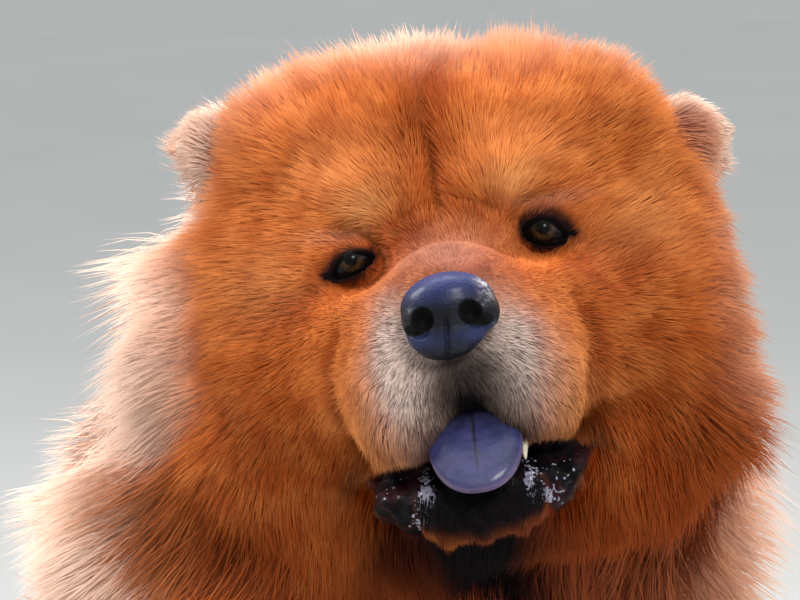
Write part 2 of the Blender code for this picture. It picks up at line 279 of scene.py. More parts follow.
# %% [markdown]
# ## Tools for shaping
# Every new piece starts as a primitive that is stretched and placed in the face's frame.
# Eggs that overlap are joined by a voxel remesh and smoothed into one body, which is how
# a sculptor blocks out a form in clay. An operator works on all that is selected, so each
# helper starts from an empty selection.
# %% Shaping helpers
def select_only(*objects):
    bpy.ops.object.select_all(action="DESELECT")
    for obj in objects:
        obj.select_set(True)
    bpy.context.view_layer.objects.active = objects[0]


def egg(centre, radii, turn=(0, 0, 0), basis=FACE, segments=32):
    """A sphere stretched into an egg. Sizes are millimetres in the frame, turns degrees."""
    bpy.ops.object.select_all(action="DESELECT")
    bpy.ops.mesh.primitive_uv_sphere_add(segments=segments, ring_count=segments * 2 // 3)
    obj = bpy.context.object
    stretch = Matrix.LocRotScale(Vector(centre), Euler(map(math.radians, turn)), Vector(radii))
    obj.matrix_world = basis @ stretch
    bpy.ops.object.transform_apply(location=True, rotation=True, scale=True)
    return obj


def egg_pair(centre, radii):
    """Two eggs, mirrored about the face's middle plane."""
    return [egg((side * centre[0], *centre[1:]), radii) for side in (1, -1)]


def applied(obj, kind, **settings):
    """Adds a modifier with some settings and applies it."""
    select_only(obj)
    modifier = obj.modifiers.new(kind.lower(), kind)
    for key, value in settings.items():
        setattr(modifier, key, value)
    bpy.ops.object.modifier_apply(modifier=modifier.name)
    return obj


def renamed(obj, name):
    obj.name = obj.data.name = name
    return obj


def joined(name, pieces):
    select_only(*pieces)
    if len(pieces) > 1:
        bpy.ops.object.join()
    return renamed(bpy.context.object, name)


def remeshed(obj, voxel, passes):
    """Builds a surface anew from voxels of some millimetres and smooths it."""
    applied(obj, "REMESH", mode="VOXEL", voxel_size=voxel * MM)
    return applied(obj, "SMOOTH", factor=0.5, iterations=passes)


def carved(obj, tool):
    """Takes a tool's shape out of an object and removes the tool."""
    applied(obj, "BOOLEAN", object=tool, operation="DIFFERENCE")
    bpy.data.objects.remove(tool)
    return obj


def numbers_of(things, key, width, kind=np.float32):
    """One property of a mesh's points, edges or faces, one row for each."""
    found = np.empty(len(things) * width, kind)
    things.foreach_get(key, found)
    return found.reshape(-1, width)


def points_of(obj):
    return numbers_of(obj.data.vertices, "co", 3).astype(float)


def normals_of(obj):
    return numbers_of(obj.data.vertices, "normal", 3).astype(float)


def centres_of(obj):
    return numbers_of(obj.data.polygons, "center", 3).astype(float)


def edges_of(obj):
    return numbers_of(obj.data.edges, "vertices", 2, np.int32)


def move_points(obj, points):
    obj.data.vertices.foreach_set("co", points.astype(np.float32).ravel())
    obj.data.update()


def finished(obj, material, slot, *nodes):
    """Shades a piece smooth, gives it its finish, hangs it on the root and hides the solids it
    stands for.
    """
    select_only(obj)
    bpy.ops.object.shade_smooth()
    obj.data.materials.clear()
    obj.data.materials.append(material)
    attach(obj, "root")
    if nodes:
        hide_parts(*nodes)
    print(f"{obj.name}: {len(obj.data.polygons)} faces")
    return obj


# %% [markdown]
# ## Smooth steps
# Most rules below fade from one value to another over a distance. `ramp` runs through any
# number of steps, `bell` is a soft ridge along one measure, and `near` is a soft spot that
# is 1 at its middle and fades with distance, measured in the spot's own radii.
# %% Fading helpers
def ramp(values, *steps):
    """Passes values through (at, value) steps, with straight lines between them."""
    at, level = zip(*steps)
    return np.interp(values, at, level)


def smooth_ramp(values, low, high):
    share = np.clip((values - low) / (high - low), 0, 1)
    return share * share * (3 - 2 * share)


def band(values, start, full, fading, end):
    """Climbs smoothly from 0 to 1, stays there and falls to 0 again."""
    return smooth_ramp(values, start, full) * (1 - smooth_ramp(values, fading, end))


def bell(values, centre, width):
    """1 at the centre, 0.61 a width away, and fading."""
    return np.exp(-0.5 * ((values - centre) / width) ** 2)


def near(points, centre, radii):
    """A soft spot: 1 at the centre, 0.61 at the radii, and fading."""
    away = (points - np.array(centre)) / np.array(radii)
    return np.exp(-0.5 * (away**2).sum(axis=1))


def egg_level(points, centre, radii):
    """Below 1 inside an egg, 1 on it, above 1 outside."""
    return np.sqrt((((points - np.array(centre)) / np.array(radii)) ** 2).sum(axis=1))


def egg_mask(points, centre, radii):
    """1 well inside an egg, 0 outside it."""
    return 1 - smooth_ramp(egg_level(points, centre, radii), 0.8, 1.0)


def faded(values, goal, share):
    """Values that give way to a goal by a share."""
    return values * (1 - share) + goal * share


def unit(vectors):
    """Vectors along the last axis, each made one long."""
    return vectors / np.maximum(np.linalg.norm(vectors, axis=-1, keepdims=True), 1e-9)


print("a ridge at its width:", round(float(bell(1.0, 0.0, 1.0)), 2))

# %% [markdown]
# ## The lie of the coat
# A chow's coat stands off the body. It is shortest on the muzzle and the feet, longest in
# the ruff, the mane, the breeches and the tail. One table gives each part's hair length,
# how steeply the hair leaves the skin and how pale it is. The head gets its own rule,
# because there the hair runs outwards from the nose and lengthens all the way to the ruff.
# The same numbers say how deep the skin lies inside the outline of the coat.
# %% Table of the coat
# Length in millimetres, rise from the skin in degrees, and paleness from 0 to 1.
COAT = {
    "head": (30, 35, 0.0),
    "lower_jaw": (30, 35, 0.0),
    "neck": (74, 36, 0.05),
    "trunk": (56, 31, 0.15),
    "tail": (66, 25, 0.5),
    # The ears' paleness is partly painted rim light, more of it on the right ear.
    "ear_left": (5, 14, 0.7),
    "ear_right": (5, 14, 1.0),
}
FALL = {"neck": (0, 0.35, -0.95), "trunk": (0, 0.45, -0.85)}  # which way the hair runs
for side in ("left", "right"):
    COAT[f"foreleg_{side}"] = (28, 26, 0.1)
    COAT[f"thigh_{side}"] = (52, 30, 0.4)
    COAT[f"forepaw_{side}"] = (9, 20, 0.15)
    COAT[f"hindpaw_{side}"] = (9, 20, 0.15)
    FALL[f"foreleg_{side}"] = (0, 0.25, -1)
    FALL[f"thigh_{side}"] = (0, 0.6, -0.8)
PARTS = list(COAT)
LENGTHS, RISES, PALENESS = np.array(list(COAT.values()), float).T
HEAD_PARTS = ("head", "lower_jaw")
EARS = ("ear_left", "ear_right")
FEET = tuple(part for part in PARTS if "paw" in part)
BODY_PARTS = [part for part in PARTS if part not in EARS and part != "tail"]
STANDING_SHARE = 0.88  # how much of a hair's rise is left once it has bent over
BODY_GIRTH = 280  # millimetres through the body, which falls away behind a hair

NOSE_FRONT = (0, -96, -30)  # in the face's frame, the hair of the head runs away from here
MUZZLE_MIDDLE = np.array((0, -45, -38))
EARS_ASIDE = 2.5  # how far both ears lie to the right of the crown's middle plane


def share_of(shares, *parts):
    """The share that some parts together have in each point."""
    return sum(shares[:, PARTS.index(part)] for part in parts)


def beside_ear(points, side):
    """World points in the crown's frame, mirrored so that both ears lie alike."""
    return (in_head(points) + (EARS_ASIDE, 0, 0)) * (side, 1, 1)


def from_muzzle(points):
    """Millimetres from the middle of the muzzle."""
    return np.linalg.norm(in_face(points) - MUZZLE_MIDDLE, axis=1)


def mouth_level(face):
    """Below 1 inside the dark patch of the mouth and lower lips, seen from the front."""
    below = np.maximum(-88 - face[:, 2], 0)
    return np.maximum((np.abs(face[:, 0] + 4) + 0.58 * below) / 60, below / 40)


def crown_corner(crown, side):
    """A soft spot above one ear, where the crown has its corner."""
    return near(crown * (side, 1, 1), (100, 80, 84), (22, 44, 20))


print("parts in the table:", len(PARTS))

# %% Outline of the crown
# Millimetres across the head, and how far the coat stands over the solid there.
CROWN_OUTLINE = (
    (-104, 2), (-92, -2), (-72, -13), (-55, -9), (-40, -3), (-27, 5),
    (-18, 6), (-4, -2), (30, -3), (66, -1), (84, 7), (100, 4),
)


def crown_lift(crown):
    """How far the top of the head stands over its solid, in millimetres."""
    top = smooth_ramp(crown[:, 2], 52, 84) * (1 - smooth_ramp(crown[:, 1], 110, 160))
    return ramp(crown[:, 0], *CROWN_OUTLINE) * top


print("outline of the crown:", len(CROWN_OUTLINE), "steps")


# %% Coat of the head
LENGTH_FROM_MUZZLE = (
    (22, 4), (45, 5.5), (62, 7.5), (85, 11), (115, 19), (150, 34), (190, 54), (240, 70),
)
RISE_FROM_MUZZLE = (25, 15), (60, 19), (90, 29), (130, 36), (190, 39)


def head_coat(points):
    """Hair length and rise over the head."""
    face, crown = in_face(points), in_head(points)
    length = ramp(from_muzzle(points), *LENGTH_FROM_MUZZLE)
    rise = ramp(from_muzzle(points), *RISE_FROM_MUZZLE)
    on_top = smooth_ramp(crown[:, 2], 35, 90) * (1 - smooth_ramp(crown[:, 1], 90, 150))
    length = faded(length, np.minimum(length, 34), on_top)
    rise = rise + 10 * on_top
    for side in (1, -1):
        beside = face * (side, 1, 1)
        round_eye = near(beside, (eye_spacing / 2, 4, 0), (15, 24, 12))
        length = faded(length, 4.5, round_eye)
        rise = rise * (1 - 0.4 * round_eye)
        length += 3.5 * near(beside, (32, -48, -82), (20, 16, 9))  # lip fringe
        length += 8 * near(beside, (62, 5, -104), (16, 30, 24))  # beside the jaw
        length += 3 * crown_corner(crown, side)
        rise = rise + 16 * crown_corner(crown, side)
        before_ear = near(crown * (side, 1, 1), (96, 84, 46), (22, 36, 19))
        length = length * (1 - 0.6 * before_ear)
        rise = rise * (1 - 0.4 * before_ear)
    lips = (1 - smooth_ramp(mouth_level(face), 0.98, 1.12)) * smooth_ramp(-face[:, 2], 84, 90)
    lips *= 1 - smooth_ramp(face[:, 1], 14, 34)
    length = faded(length, 3, lips)
    chin = near(face, (0, -48, -110), (26, 34, 8))
    length = faded(length, 5.5, chin)
    length += 5 * near(face, (0, -38, -124), (30, 26, 6))  # beard
    rise = rise * (1 - 0.3 * chin)
    return length, rise


def depth_of(length, rise):
    """How far below the tips the skin lies, in millimetres.

    A hair that runs along a round body also leaves it behind, as a tangent does.
    """
    standing = STANDING_SHARE * length * np.sin(np.radians(rise))
    tangent = (0.85 * length * np.cos(np.radians(rise))) ** 2 / BODY_GIRTH
    return standing + np.minimum(tangent, 0.12 * length)


print("hair on the neck stands", round(float(depth_of(74, 36))), "mm deep")


# %% Which part is a point on
def solid_tree(names):
    """A search tree over some solids, with the part's number for each of its faces."""
    corners, faces, owners = [], [], []
    for name in names:
        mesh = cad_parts[name].data
        start = len(corners)
        corners += [v.co.copy() for v in mesh.vertices]
        faces += [[start + v for v in face.vertices] for face in mesh.polygons]
        owners += [PARTS.index(name)] * len(mesh.polygons)
    return BVHTree.FromPolygons(corners, faces), owners


def relaxed(values, edges, passes):
    """Lets each vertex take the mean of its neighbours and itself, some times over."""
    ends = np.concatenate((edges, edges[:, ::-1]))
    count = np.bincount(ends[:, 0], minlength=len(values)) + 1.0
    values = values.reshape(len(values), -1)
    for _ in range(passes):
        gathered = [
            np.bincount(ends[:, 0], weights=column[ends[:, 1]], minlength=len(values))
            for column in values.T
        ]
        values = (np.stack(gathered, axis=1) + values) / count[:, None]
    return values


def part_shares(obj, names, passes):
    """For each vertex, the share that each part of the coat's table has in it."""
    tree, owners = solid_tree(names)
    shares = np.zeros((len(obj.data.vertices), len(PARTS)))
    for index, vertex in enumerate(obj.data.vertices):
        face = tree.find_nearest(vertex.co)[2]
        shares[index, owners[face]] = 1
    return relaxed(shares, edges_of(obj), passes)


def ear_rim(points):
    """1 on the edge of either ear, 0 in its middle."""
    rims = [egg_level(beside_ear(points, s), (108, 92, 53), (20, 60, 17)) for s in (1, -1)]
    return 1 - smooth_ramp(np.abs(np.minimum(*rims) - 1), 0.08, 0.34)


def coat_rule(obj, names, passes):
    """Hair length and rise for each vertex, in millimetres and degrees."""
    shares = part_shares(obj, names, passes)
    length, rise = shares @ LENGTHS, shares @ RISES
    on_rim = share_of(shares, *EARS) * ear_rim(points_of(obj))
    length += 3 * on_rim
    rise += 20 * on_rim
    on_head = share_of(shares, *HEAD_PARTS)
    head_length, head_rise = head_coat(points_of(obj))
    length += on_head * (head_length - COAT["head"][0])
    rise += on_head * (head_rise - COAT["head"][1])
    return shares, np.maximum(length, 2.5), rise


print("faces of the solids under the coat:", len(solid_tree(PARTS)[1]))


# %% [markdown]
# ## Skin
# Under all the hair lies one skin. It is made from copies of the solids, joined by a
# voxel remesh and sunk inwards by the depth of the coat, in small steps with smoothing
# between them, so that hollows don't fold over. The tail is sunk on its own, because it
# lies clear of the body, and a second remesh joins it, the ears and the lips to it.
# %% Sink copies of the solids
BODY_VOXEL, SKIN_VOXEL = 5.0, 5.8
SINKING_STEPS = 6


def merged_copies(name, nodes):
    """Copies of some solids as one object, their loose triangles merged."""
    made = []
    for node in nodes:
        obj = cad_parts[node].copy()
        obj.data = obj.data.copy()
        obj.parent = None
        for key in list(obj.keys()):
            del obj[key]
        bpy.context.scene.collection.objects.link(obj)
        made.append(obj)
    whole = joined(name, made)
    bpy.ops.object.mode_set(mode="EDIT")
    bpy.ops.mesh.select_all(action="SELECT")
    bpy.ops.mesh.remove_doubles(threshold=0.01 * MM)
    bpy.ops.object.mode_set(mode="OBJECT")
    return whole


def sunk(name, nodes):
    """The solids as one surface, moved inwards by the depth of their coat."""
    obj = merged_copies(name, nodes)
    applied(obj, "DISPLACE", strength=0.4 * MM, mid_level=0)
    remeshed(obj, BODY_VOXEL, 6)
    _, length, rise = coat_rule(obj, nodes, 6)
    edges = edges_of(obj)
    depth = relaxed(depth_of(length, rise), edges, 4)
    depth[:, 0] -= crown_lift(in_head(points_of(obj)))
    for _ in range(SINKING_STEPS):
        normals = unit(relaxed(normals_of(obj), edges, 2))
        points = points_of(obj) - normals * depth * MM / SINKING_STEPS
        share = np.clip(depth / 30, 0, 1) * 0.6
        points += share * (relaxed(points, edges, 1) - points)
        move_points(obj, points)
    print(f"{name}: {len(obj.data.vertices)} points, up to {depth.max():.0f} mm deep")
    return obj


skin = sunk("skin", BODY_PARTS)
lip_flesh = [
    egg((24.5, -52, -74), (13, 17, 13.5)),
    egg((-25, -52, -76), (14, 17, 13.5)),
    egg((0.5, -58, -60), (12, 16, 9)),
    *egg_pair((36, -34, -78), (11, 18, 10.5)),
]
ear_flesh = []
for side in (1, -1):
    ear_flesh.append(egg((side * 84 - EARS_ASIDE, 93, 50), (30, 11, 18), basis=HEAD))
    ear_flesh.append(egg((side * 109 - EARS_ASIDE, 93, 53), (19.5, 11.5, 18), basis=HEAD))
skin = joined("skin", [skin, sunk("tail_skin", ["tail"]), *ear_flesh, *lip_flesh])
remeshed(skin, SKIN_VOXEL, 3)
print("skin points:", len(skin.data.vertices))

# %% [markdown]
# ## Openings of the eyes
# An eye's opening is an almond. Its outer corner lies lower, its upper edge arches more than
# its lower one, and the pupil sits above the line between the corners. Much depends on how
# far a point lies outside that almond: the hole in the skin, the folds of the lids, the dark
# rim and the shortest hair. So one function answers that for any point of the face.
# %% Almond of the eyes
EYE_X = eye_spacing / 2
EYE_BALL = 11.5  # radius
CANT = math.radians(17)  # how much the outer corner hangs
HALF_WIDTH, ABOVE, BELOW = 9.4, 5.0, 2.7  # of the opening, from the line of its corners
OFFSET = (0.9, -2.6)  # from the pupil to the middle of that line, outwards and up
STRETCH = {1: (1.05, 1.25), -1: (1.0, 1.0)}  # the dog holds its left eye wider open
EYES = (("eye_left", 1), ("eye_right", -1))


def almond(turn):
    """Points on the edge of the opening, for an angle round its middle."""
    bend = np.sin(turn) * np.abs(np.sin(turn)) ** 0.3
    return HALF_WIDTH * np.cos(turn), bend * np.where(turn > 0, ABOVE, BELOW)


EDGE_WIDE, EDGE_TALL = almond(np.linspace(-math.pi, math.pi, 241))
EDGE_ANGLE = np.arctan2(EDGE_TALL, EDGE_WIDE)
EDGE_REACH = np.hypot(EDGE_TALL, EDGE_WIDE)


def beside_eye(face, side):
    """Distance outside an eye's opening, height over its corners and distance to its axis."""
    across, up = side * face[:, 0] - EYE_X, face[:, 2]
    wide = (across * math.cos(CANT) - up * math.sin(CANT) - OFFSET[0]) / STRETCH[side][0]
    tall = (across * math.sin(CANT) + up * math.cos(CANT) - OFFSET[1]) / STRETCH[side][1]
    outside = np.hypot(wide, tall) - np.interp(np.arctan2(tall, wide), EDGE_ANGLE, EDGE_REACH)
    return outside, tall, np.hypot(across, up)


def before_eye(off_axis, height):
    """How far a surface over the eyeball lies before its middle."""
    close = np.minimum(off_axis, 8.5)
    return np.sqrt((EYE_BALL + height) ** 2 - close**2) - (off_axis - close) * 0.85


def ball_middle(node):
    return in_face(np.array([middle(node)]))[0]


print("opening of an eye:", 2 * HALF_WIDTH, "by", ABOVE + BELOW, "mm")

# %% [markdown]
# ## Finer skin on the face
# Lids, lips and folds are only millimetres wide, so the face needs smaller faces than the
# body. Its quads are selected by their place and subdivided, and smoothing takes the flats
# out of the new points. Then code pushes the points in and out, as a sculptor's thumb
# would: a furrow down the forehead, a pad over each eye and a crease beside the muzzle.
# Feet and ears need it too: between the claws of each foot the skin gets a groove.
# %% Subdivide the face, the feet and the ears
TOES = {}  # the claws' middles in millimetres, for each foot
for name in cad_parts:
    if name.startswith("claw"):
        TOES.setdefault(name[:-2], []).append(middle(name) / MM)


def refine(obj, chosen, cuts, passes):
    """Subdivides chosen faces of an object and smooths their points."""
    select_only(obj)
    bpy.ops.object.mode_set(mode="EDIT")
    bpy.ops.mesh.select_mode(type="FACE")
    bpy.ops.mesh.select_all(action="DESELECT")
    bpy.ops.object.mode_set(mode="OBJECT")
    obj.data.polygons.foreach_set("select", chosen)
    bpy.ops.object.mode_set(mode="EDIT")
    bpy.ops.mesh.subdivide(number_cuts=cuts)
    bpy.ops.mesh.vertices_smooth(factor=0.5, repeat=passes)
    bpy.ops.object.mode_set(mode="OBJECT")


refine(skin, egg_level(in_face(centres_of(skin)), (0, -20, -44), (84, 75, 104)) < 1, 3, 8)
centres = centres_of(skin)
chosen = np.zeros(len(centres), bool)
for claw_places in TOES.values():
    foot = np.mean(claw_places, axis=0) * MM + np.array((0, 0.02, 0.01))
    chosen |= egg_level(centres, foot, (0.046, 0.042, 0.05)) < 1
for side in (1, -1):
    chosen |= egg_level(beside_ear(centres, side), (113, 93, 53), (22, 20, 26)) < 1
refine(skin, chosen, 1, 3)
print("finer skin:", len(skin.data.polygons), "faces")


# %% Sculpt the face and the toes
def between_toes(points):
    """1 in the grooves between the toes, 0 elsewhere."""
    place = points / MM
    grooves = np.zeros(len(points))
    for claw_places in TOES.values():
        across = sorted(claw[0] for claw in claw_places)
        back = place[:, 1] - min(claw[1] for claw in claw_places)
        reach = band(back, -12, -4, 26, 48) * (place[:, 2] < 60)
        for left, right in zip(across, across[1:]):
            groove = bell(place[:, 0], (left + right) / 2, 2.3)
            grooves = np.maximum(grooves, groove * reach)
    return grooves


def muzzle_crease(face, side, width):
    """The bowed fold beside the muzzle, as a ridge of 1."""
    bow = 46 + 9 * np.sin(np.clip((face[:, 2] + 20) / -66, 0, 1) * math.pi)
    return bell(side * face[:, 0], bow, width)


def face_relief(points):
    """How far the skin of the face stands out, in millimetres."""
    face = in_face(points)
    x, y, z = face.T
    relief = -6.0 * bell(x, -1, 3.4) * band(z, 2, 18, 66, 84)  # furrow of the forehead
    relief += 2.6 * near(face, (1, -32, -7), (24, 12, 9))  # top of the bridge
    for side in (1, -1):
        beside = face * (side, 1, 1)
        relief += 3.6 * near(beside, (29, 6, 23), (12, 22, 9))  # pad over the eye
        outside, tall, _ = beside_eye(face, side)
        upper = smooth_ramp(tall, -2, 3)
        relief -= 1.3 * upper * bell(outside, 5.2, 1.1)  # folds of the upper lid
        relief += 1.6 * upper * bell(outside, 9, 2.6)
        relief += 0.8 * (1 - upper) * bell(outside, 7, 2.2)  # and of the lower one
        relief -= 0.8 * (1 - upper) * bell(outside, 12, 2.2)
        relief -= 1.5 * near(beside, (25, -2, -6), (5, 16, 5))  # inner corner
        relief -= 1.8 * muzzle_crease(face, side, 2.2) * band(-z, 22, 36, 76, 90)
        frown = bell(z, 9 + 0.55 * (24 - side * x), 1.9)
        relief -= 1.8 * frown * band(side * x, 3, 9, 22, 30)
    lips = smooth_ramp(-z, 88, 94) * (1 - smooth_ramp(mouth_level(face), 1.0, 1.15)) * (y < 10)
    relief += lips * (1.0 * np.sin(x / 2.7 + 2 * np.sin(z / 7)) + 0.6 * np.sin(x / 1.3 + z / 3))
    relief -= 2.5 * band(-z, 126, 133, 142, 150) * (np.abs(x) < 60)  # throat
    relief *= 1 - smooth_ramp(y, 30, 50)
    for side in (1, -1):
        relief -= 4.5 * near(beside_ear(points, side), (105, 78, 52), (11, 12, 8))
    return relief


face = in_face(points_of(skin))
cheeks = bell(np.abs(face[:, 0]), 55, 8) * egg_mask(face, (0, -5, -36), (80, 50, 62))
stop = np.minimum(1.3 * near(face, (0, -14, -4), (36, 44, 13)), 1)
softened = relaxed(points_of(skin), edges_of(skin), 30)
softer = np.maximum(cheeks, stop)[:, None]
move_points(skin, points_of(skin) + softer * (softened - points_of(skin)))
relief = face_relief(points_of(skin)) - 5.5 * between_toes(points_of(skin))
move_points(skin, points_of(skin) + normals_of(skin) * relief[:, None] * MM)


def parting(face):
    """The dark line where the lips part beside the tongue, from 0 to 1."""
    aside = np.abs(face[:, 0] + 1)
    line = bell(face[:, 2], -92 - 6 * bell(aside, 34, 9), 3.4)
    line *= ramp(aside, (12, 0), (18, 1), (50, 1), (57, 0))
    return line * (1 - smooth_ramp(face[:, 1], 5, 25))


face = in_face(points_of(skin))
face[:, 1] += 15 * parting(face)
move_points(skin, from_face(face))
print("relief of the face:", round(relief.min(), 1), "to", round(relief.max(), 1), "mm")

# %% [markdown]
# ## Sockets
# Round each eye the skin is laid over the eyeball, so that the lids take its curve. Inside
# the almond the skin goes back behind the ball. The edge of that hole is rough, and the rim
# of the lids will cover it.
# %% Lay the skin over the eyeballs
BENEATH_RIM = 0.5  # how far outside the opening the hole in the skin ends

face = in_face(points_of(skin))
for node, side in EYES:
    ball_y = ball_middle(node)[1]
    outside, _, off_axis = beside_eye(face, side)
    in_front = smooth_ramp(-face[:, 1], -22, -14)
    share = (1 - smooth_ramp(off_axis, 11, 19)) * in_front
    face[:, 1] += share * (ball_y - before_eye(off_axis, 0.5) - face[:, 1])
    face[(outside < BENEATH_RIM) & (in_front > 0.5), 1] = ball_y + 3
move_points(skin, from_face(face))
print("skin points with the face:", len(skin.data.vertices))

# %% [markdown]
# ## Unwrap of the skin
# The coat is painted from its roots: each tuft takes a tiny patch of the skin's unwrap, so
# the unwrap has to follow the skin's own shape. A smart projection cuts the closed skin
# into islands by the way its faces look.
# %% Unwrap
select_only(skin)
skin.data.uv_layers.new(name="OFBake")
bpy.ops.object.mode_set(mode="EDIT")
bpy.ops.mesh.select_all(action="SELECT")
bpy.ops.uv.smart_project(angle_limit=math.radians(66), island_margin=0.002)
bpy.ops.object.mode_set(mode="OBJECT")
print("unwrapped corners:", len(skin.data.uv_layers["OFBake"].data))

# %% [markdown]
# ## Markings
# The coat is red-orange, silver round the nose, sooty towards the mouth and cream at the
# outside of the ruff, on the breeches and the tail. Some of it is painted light: the paler
# top of the crown, outside of the mane and rims of the ears are partly painted rim light,
# the gold on the brows is partly a painted highlight, and deep red and soot in the furrow,
# the creases, beside the eyes, in the ears, under the chin, on the ruff and between the
# toes are painted shade. Skin and hair must agree on all this, so one function says for
# any point how much of each tint is there. The skin keeps the answer on its points, and
# every hair takes over that of the point where it grows.
# %% Soft spots of the face
TINTS = ("pale_and_rim_light", "silver", "soot_and_shadow", "deep", "gold_and_highlight", "bare")
# Each spot has a tint, its strength, its middle and its radii, in the face's frame.
MIDDLE_SPOTS = (
    ("silver", 0.26, (0, -42, -6), (18, 34, 9)),  # bridge of the nose
    ("soot_and_shadow", 0.18, (0, -50, -8), (18, 34, 12)),
    ("soot_and_shadow", 0.3, (1, -62, -58), (11, 20, 8)),  # under the nose
    ("soot_and_shadow", 0.35, (1, -62, -70), (5, 14, 5)),
    ("soot_and_shadow", 0.35, (0, -60, -84), (30, 26, 6)),  # edge of the upper lip
    # Deep red between the eyes is painted shade in the stop.
    ("deep", 0.12, (0, 0, 8), (14, 24, 7)),  # between the eyes
    ("deep", 0.35, (0, 30, 70), (30, 40, 30)),  # forehead
    # This spot and the next three darken the throat and the gap under the chin: painted shadow.
    ("deep", 0.9, (0, 0, -132), (40, 40, 14)),  # throat
    ("soot_and_shadow", 0.7, (-6, 50, -127), (18, 22, 6)),
    ("soot_and_shadow", 1.2, (-19, 32, -119), (24, 30, 8)),
    ("soot_and_shadow", 0.6, (0, 45, -126), (16, 30, 8)),
    ("soot_and_shadow", 0.8, (-56, 20, -88), (5, 12, 5)),  # corners of the lips
    ("soot_and_shadow", 0.7, (50, 20, -88), (5, 12, 6)),
)
PAIRED_SPOTS = (
    # The gold over the brows is partly a painted highlight on the raised pads.
    ("gold_and_highlight", 0.95, (30, 8, 20), (7, 18, 5)),  # brow
    ("gold_and_highlight", 0.3, (34, 8, 34), (16, 20, 12)),
    ("gold_and_highlight", 0.65, (40, -40, -70), (10, 26, 22)),  # side of the upper lip
    ("gold_and_highlight", 0.4, (74, 30, -6), (14, 30, 12)),  # temple
    ("soot_and_shadow", 0.6, (54, 8, -9), (3.5, 12, 2.6)),  # outer corner of the eye
    # Deep red below the outer corner of the eye is painted shade in its fold.
    ("deep", 0.8, (61, 14, -18), (10, 16, 7)),
    ("silver", 0.16, (44, 6, 11), (10, 12, 2.6)),  # upper lid
    # Deep red in the inner corner of the eye is painted shade.
    ("deep", 0.15, (25, -4, -5), (8, 16, 6)),  # inner corner of the eye
    ("deep", 0.35, (60, 20, -12), (18, 30, 10)),  # cheek
    ("deep", 0.55, (84, 50, -50), (20, 44, 44)),
)
print("soft spots:", len(MIDDLE_SPOTS) + 2 * len(PAIRED_SPOTS))


# %% Tints of skin and coat
def paleness_and_rim_light(points, shares):
    """How cream the coat is: by the table, and at the outside of the head and the mane,
    where the paler hair is partly painted rim light.
    """
    face, crown = in_face(points), in_head(points)
    on_head, on_ears = share_of(shares, *HEAD_PARTS), share_of(shares, *EARS)
    # The top of the crown here, and the outside of the mane and the rims of the ears below, are
    # paler partly as painted rim light.
    pale_and_rim_light = shares @ PALENESS + on_head * smooth_ramp(crown[:, 2], 58, 100)
    aside = np.abs(crown[:, 0]) + 0.25 * (crown[:, 1] - 100)
    aside = smooth_ramp(aside - 30 * smooth_ramp(-crown[:, 2], 55, 95), 78, 120)
    aside *= 1 - 0.55 * on_head * (face[:, 0] > 0)
    behind = 0.3 * smooth_ramp(crown[:, 1], 90, 150)
    pale_and_rim_light += aside * smooth_ramp(points[:, 2], 0.3, 0.46) * (1 - on_ears)
    pale_and_rim_light += behind * smooth_ramp(points[:, 2], 0.3, 0.5) * (1 - on_ears)
    return pale_and_rim_light + 0.6 * crown_corner(crown, -1) + on_ears * 0.6 * ear_rim(points)


def muzzle_silver(face):
    """Silver of the muzzle, which ends at the bridge of the nose."""
    silver = 0.75 * smooth_ramp(near(face, (0, -60, -62), (31, 40, 26)), 0.2, 0.95)
    silver += 0.5 * near(face, (0, -68, -34), (23, 8, 14))
    silver += 1.0 * near(face, (-25, -56, -46), (7, 16, 19))
    silver += 0.6 * near(face, (23, -58, -52), (7, 16, 16))
    return silver * (1 - 0.9 * smooth_ramp(face[:, 2], -22, -13) * (np.abs(face[:, 0]) < 60))


def add_side(tint, points, shares, side):
    """Adds the markings of one side of the head, and painted shade in its folds, ear and ruff."""
    face = in_face(points)
    beside = face * (side, 1, 1)
    for name, strength, centre, radii in PAIRED_SPOTS:
        tint[name] += strength * near(beside, centre, radii)
    outside, tall, _ = beside_eye(face, side)
    lined = 1 - smooth_ramp(outside, 1.8, 3.9 + 1.4 * smooth_ramp(tall, -1, 3))
    tint["soot_and_shadow"] += 0.97 * lined * (face[:, 1] < 25) * (outside > -4)
    crease = muzzle_crease(face, side, 1.5) * band(-face[:, 2], 24, 40, 74, 86)
    # Deep red in the crease beside the muzzle is painted shade.
    tint["deep"] += 0.7 * crease * (face[:, 1] < 10)
    # Deep red and soot on the ruff under the head are painted shade.
    tint["deep"] += (0.8 + 0.2 * side) * near(beside, (70, 30, -140), (56, 60, 42))  # ruff
    tint["soot_and_shadow"] += (0.09 + 0.09 * side) * near(beside, (80, 30, -140), (50, 60, 36))
    in_ear = near(beside_ear(points, side), (105, 82, 50), (8, 10, 8)) * share_of(shares, *EARS)
    # Inside the ear the hair is less pale and darker: painted shade in the hollow.
    tint["pale_and_rim_light"] -= (0.45 + 0.35 * side) * in_ear
    tint["deep"] += (0.55 + 0.4 * side) * in_ear
    tint["soot_and_shadow"] += (0.15 + 0.15 * side) * in_ear


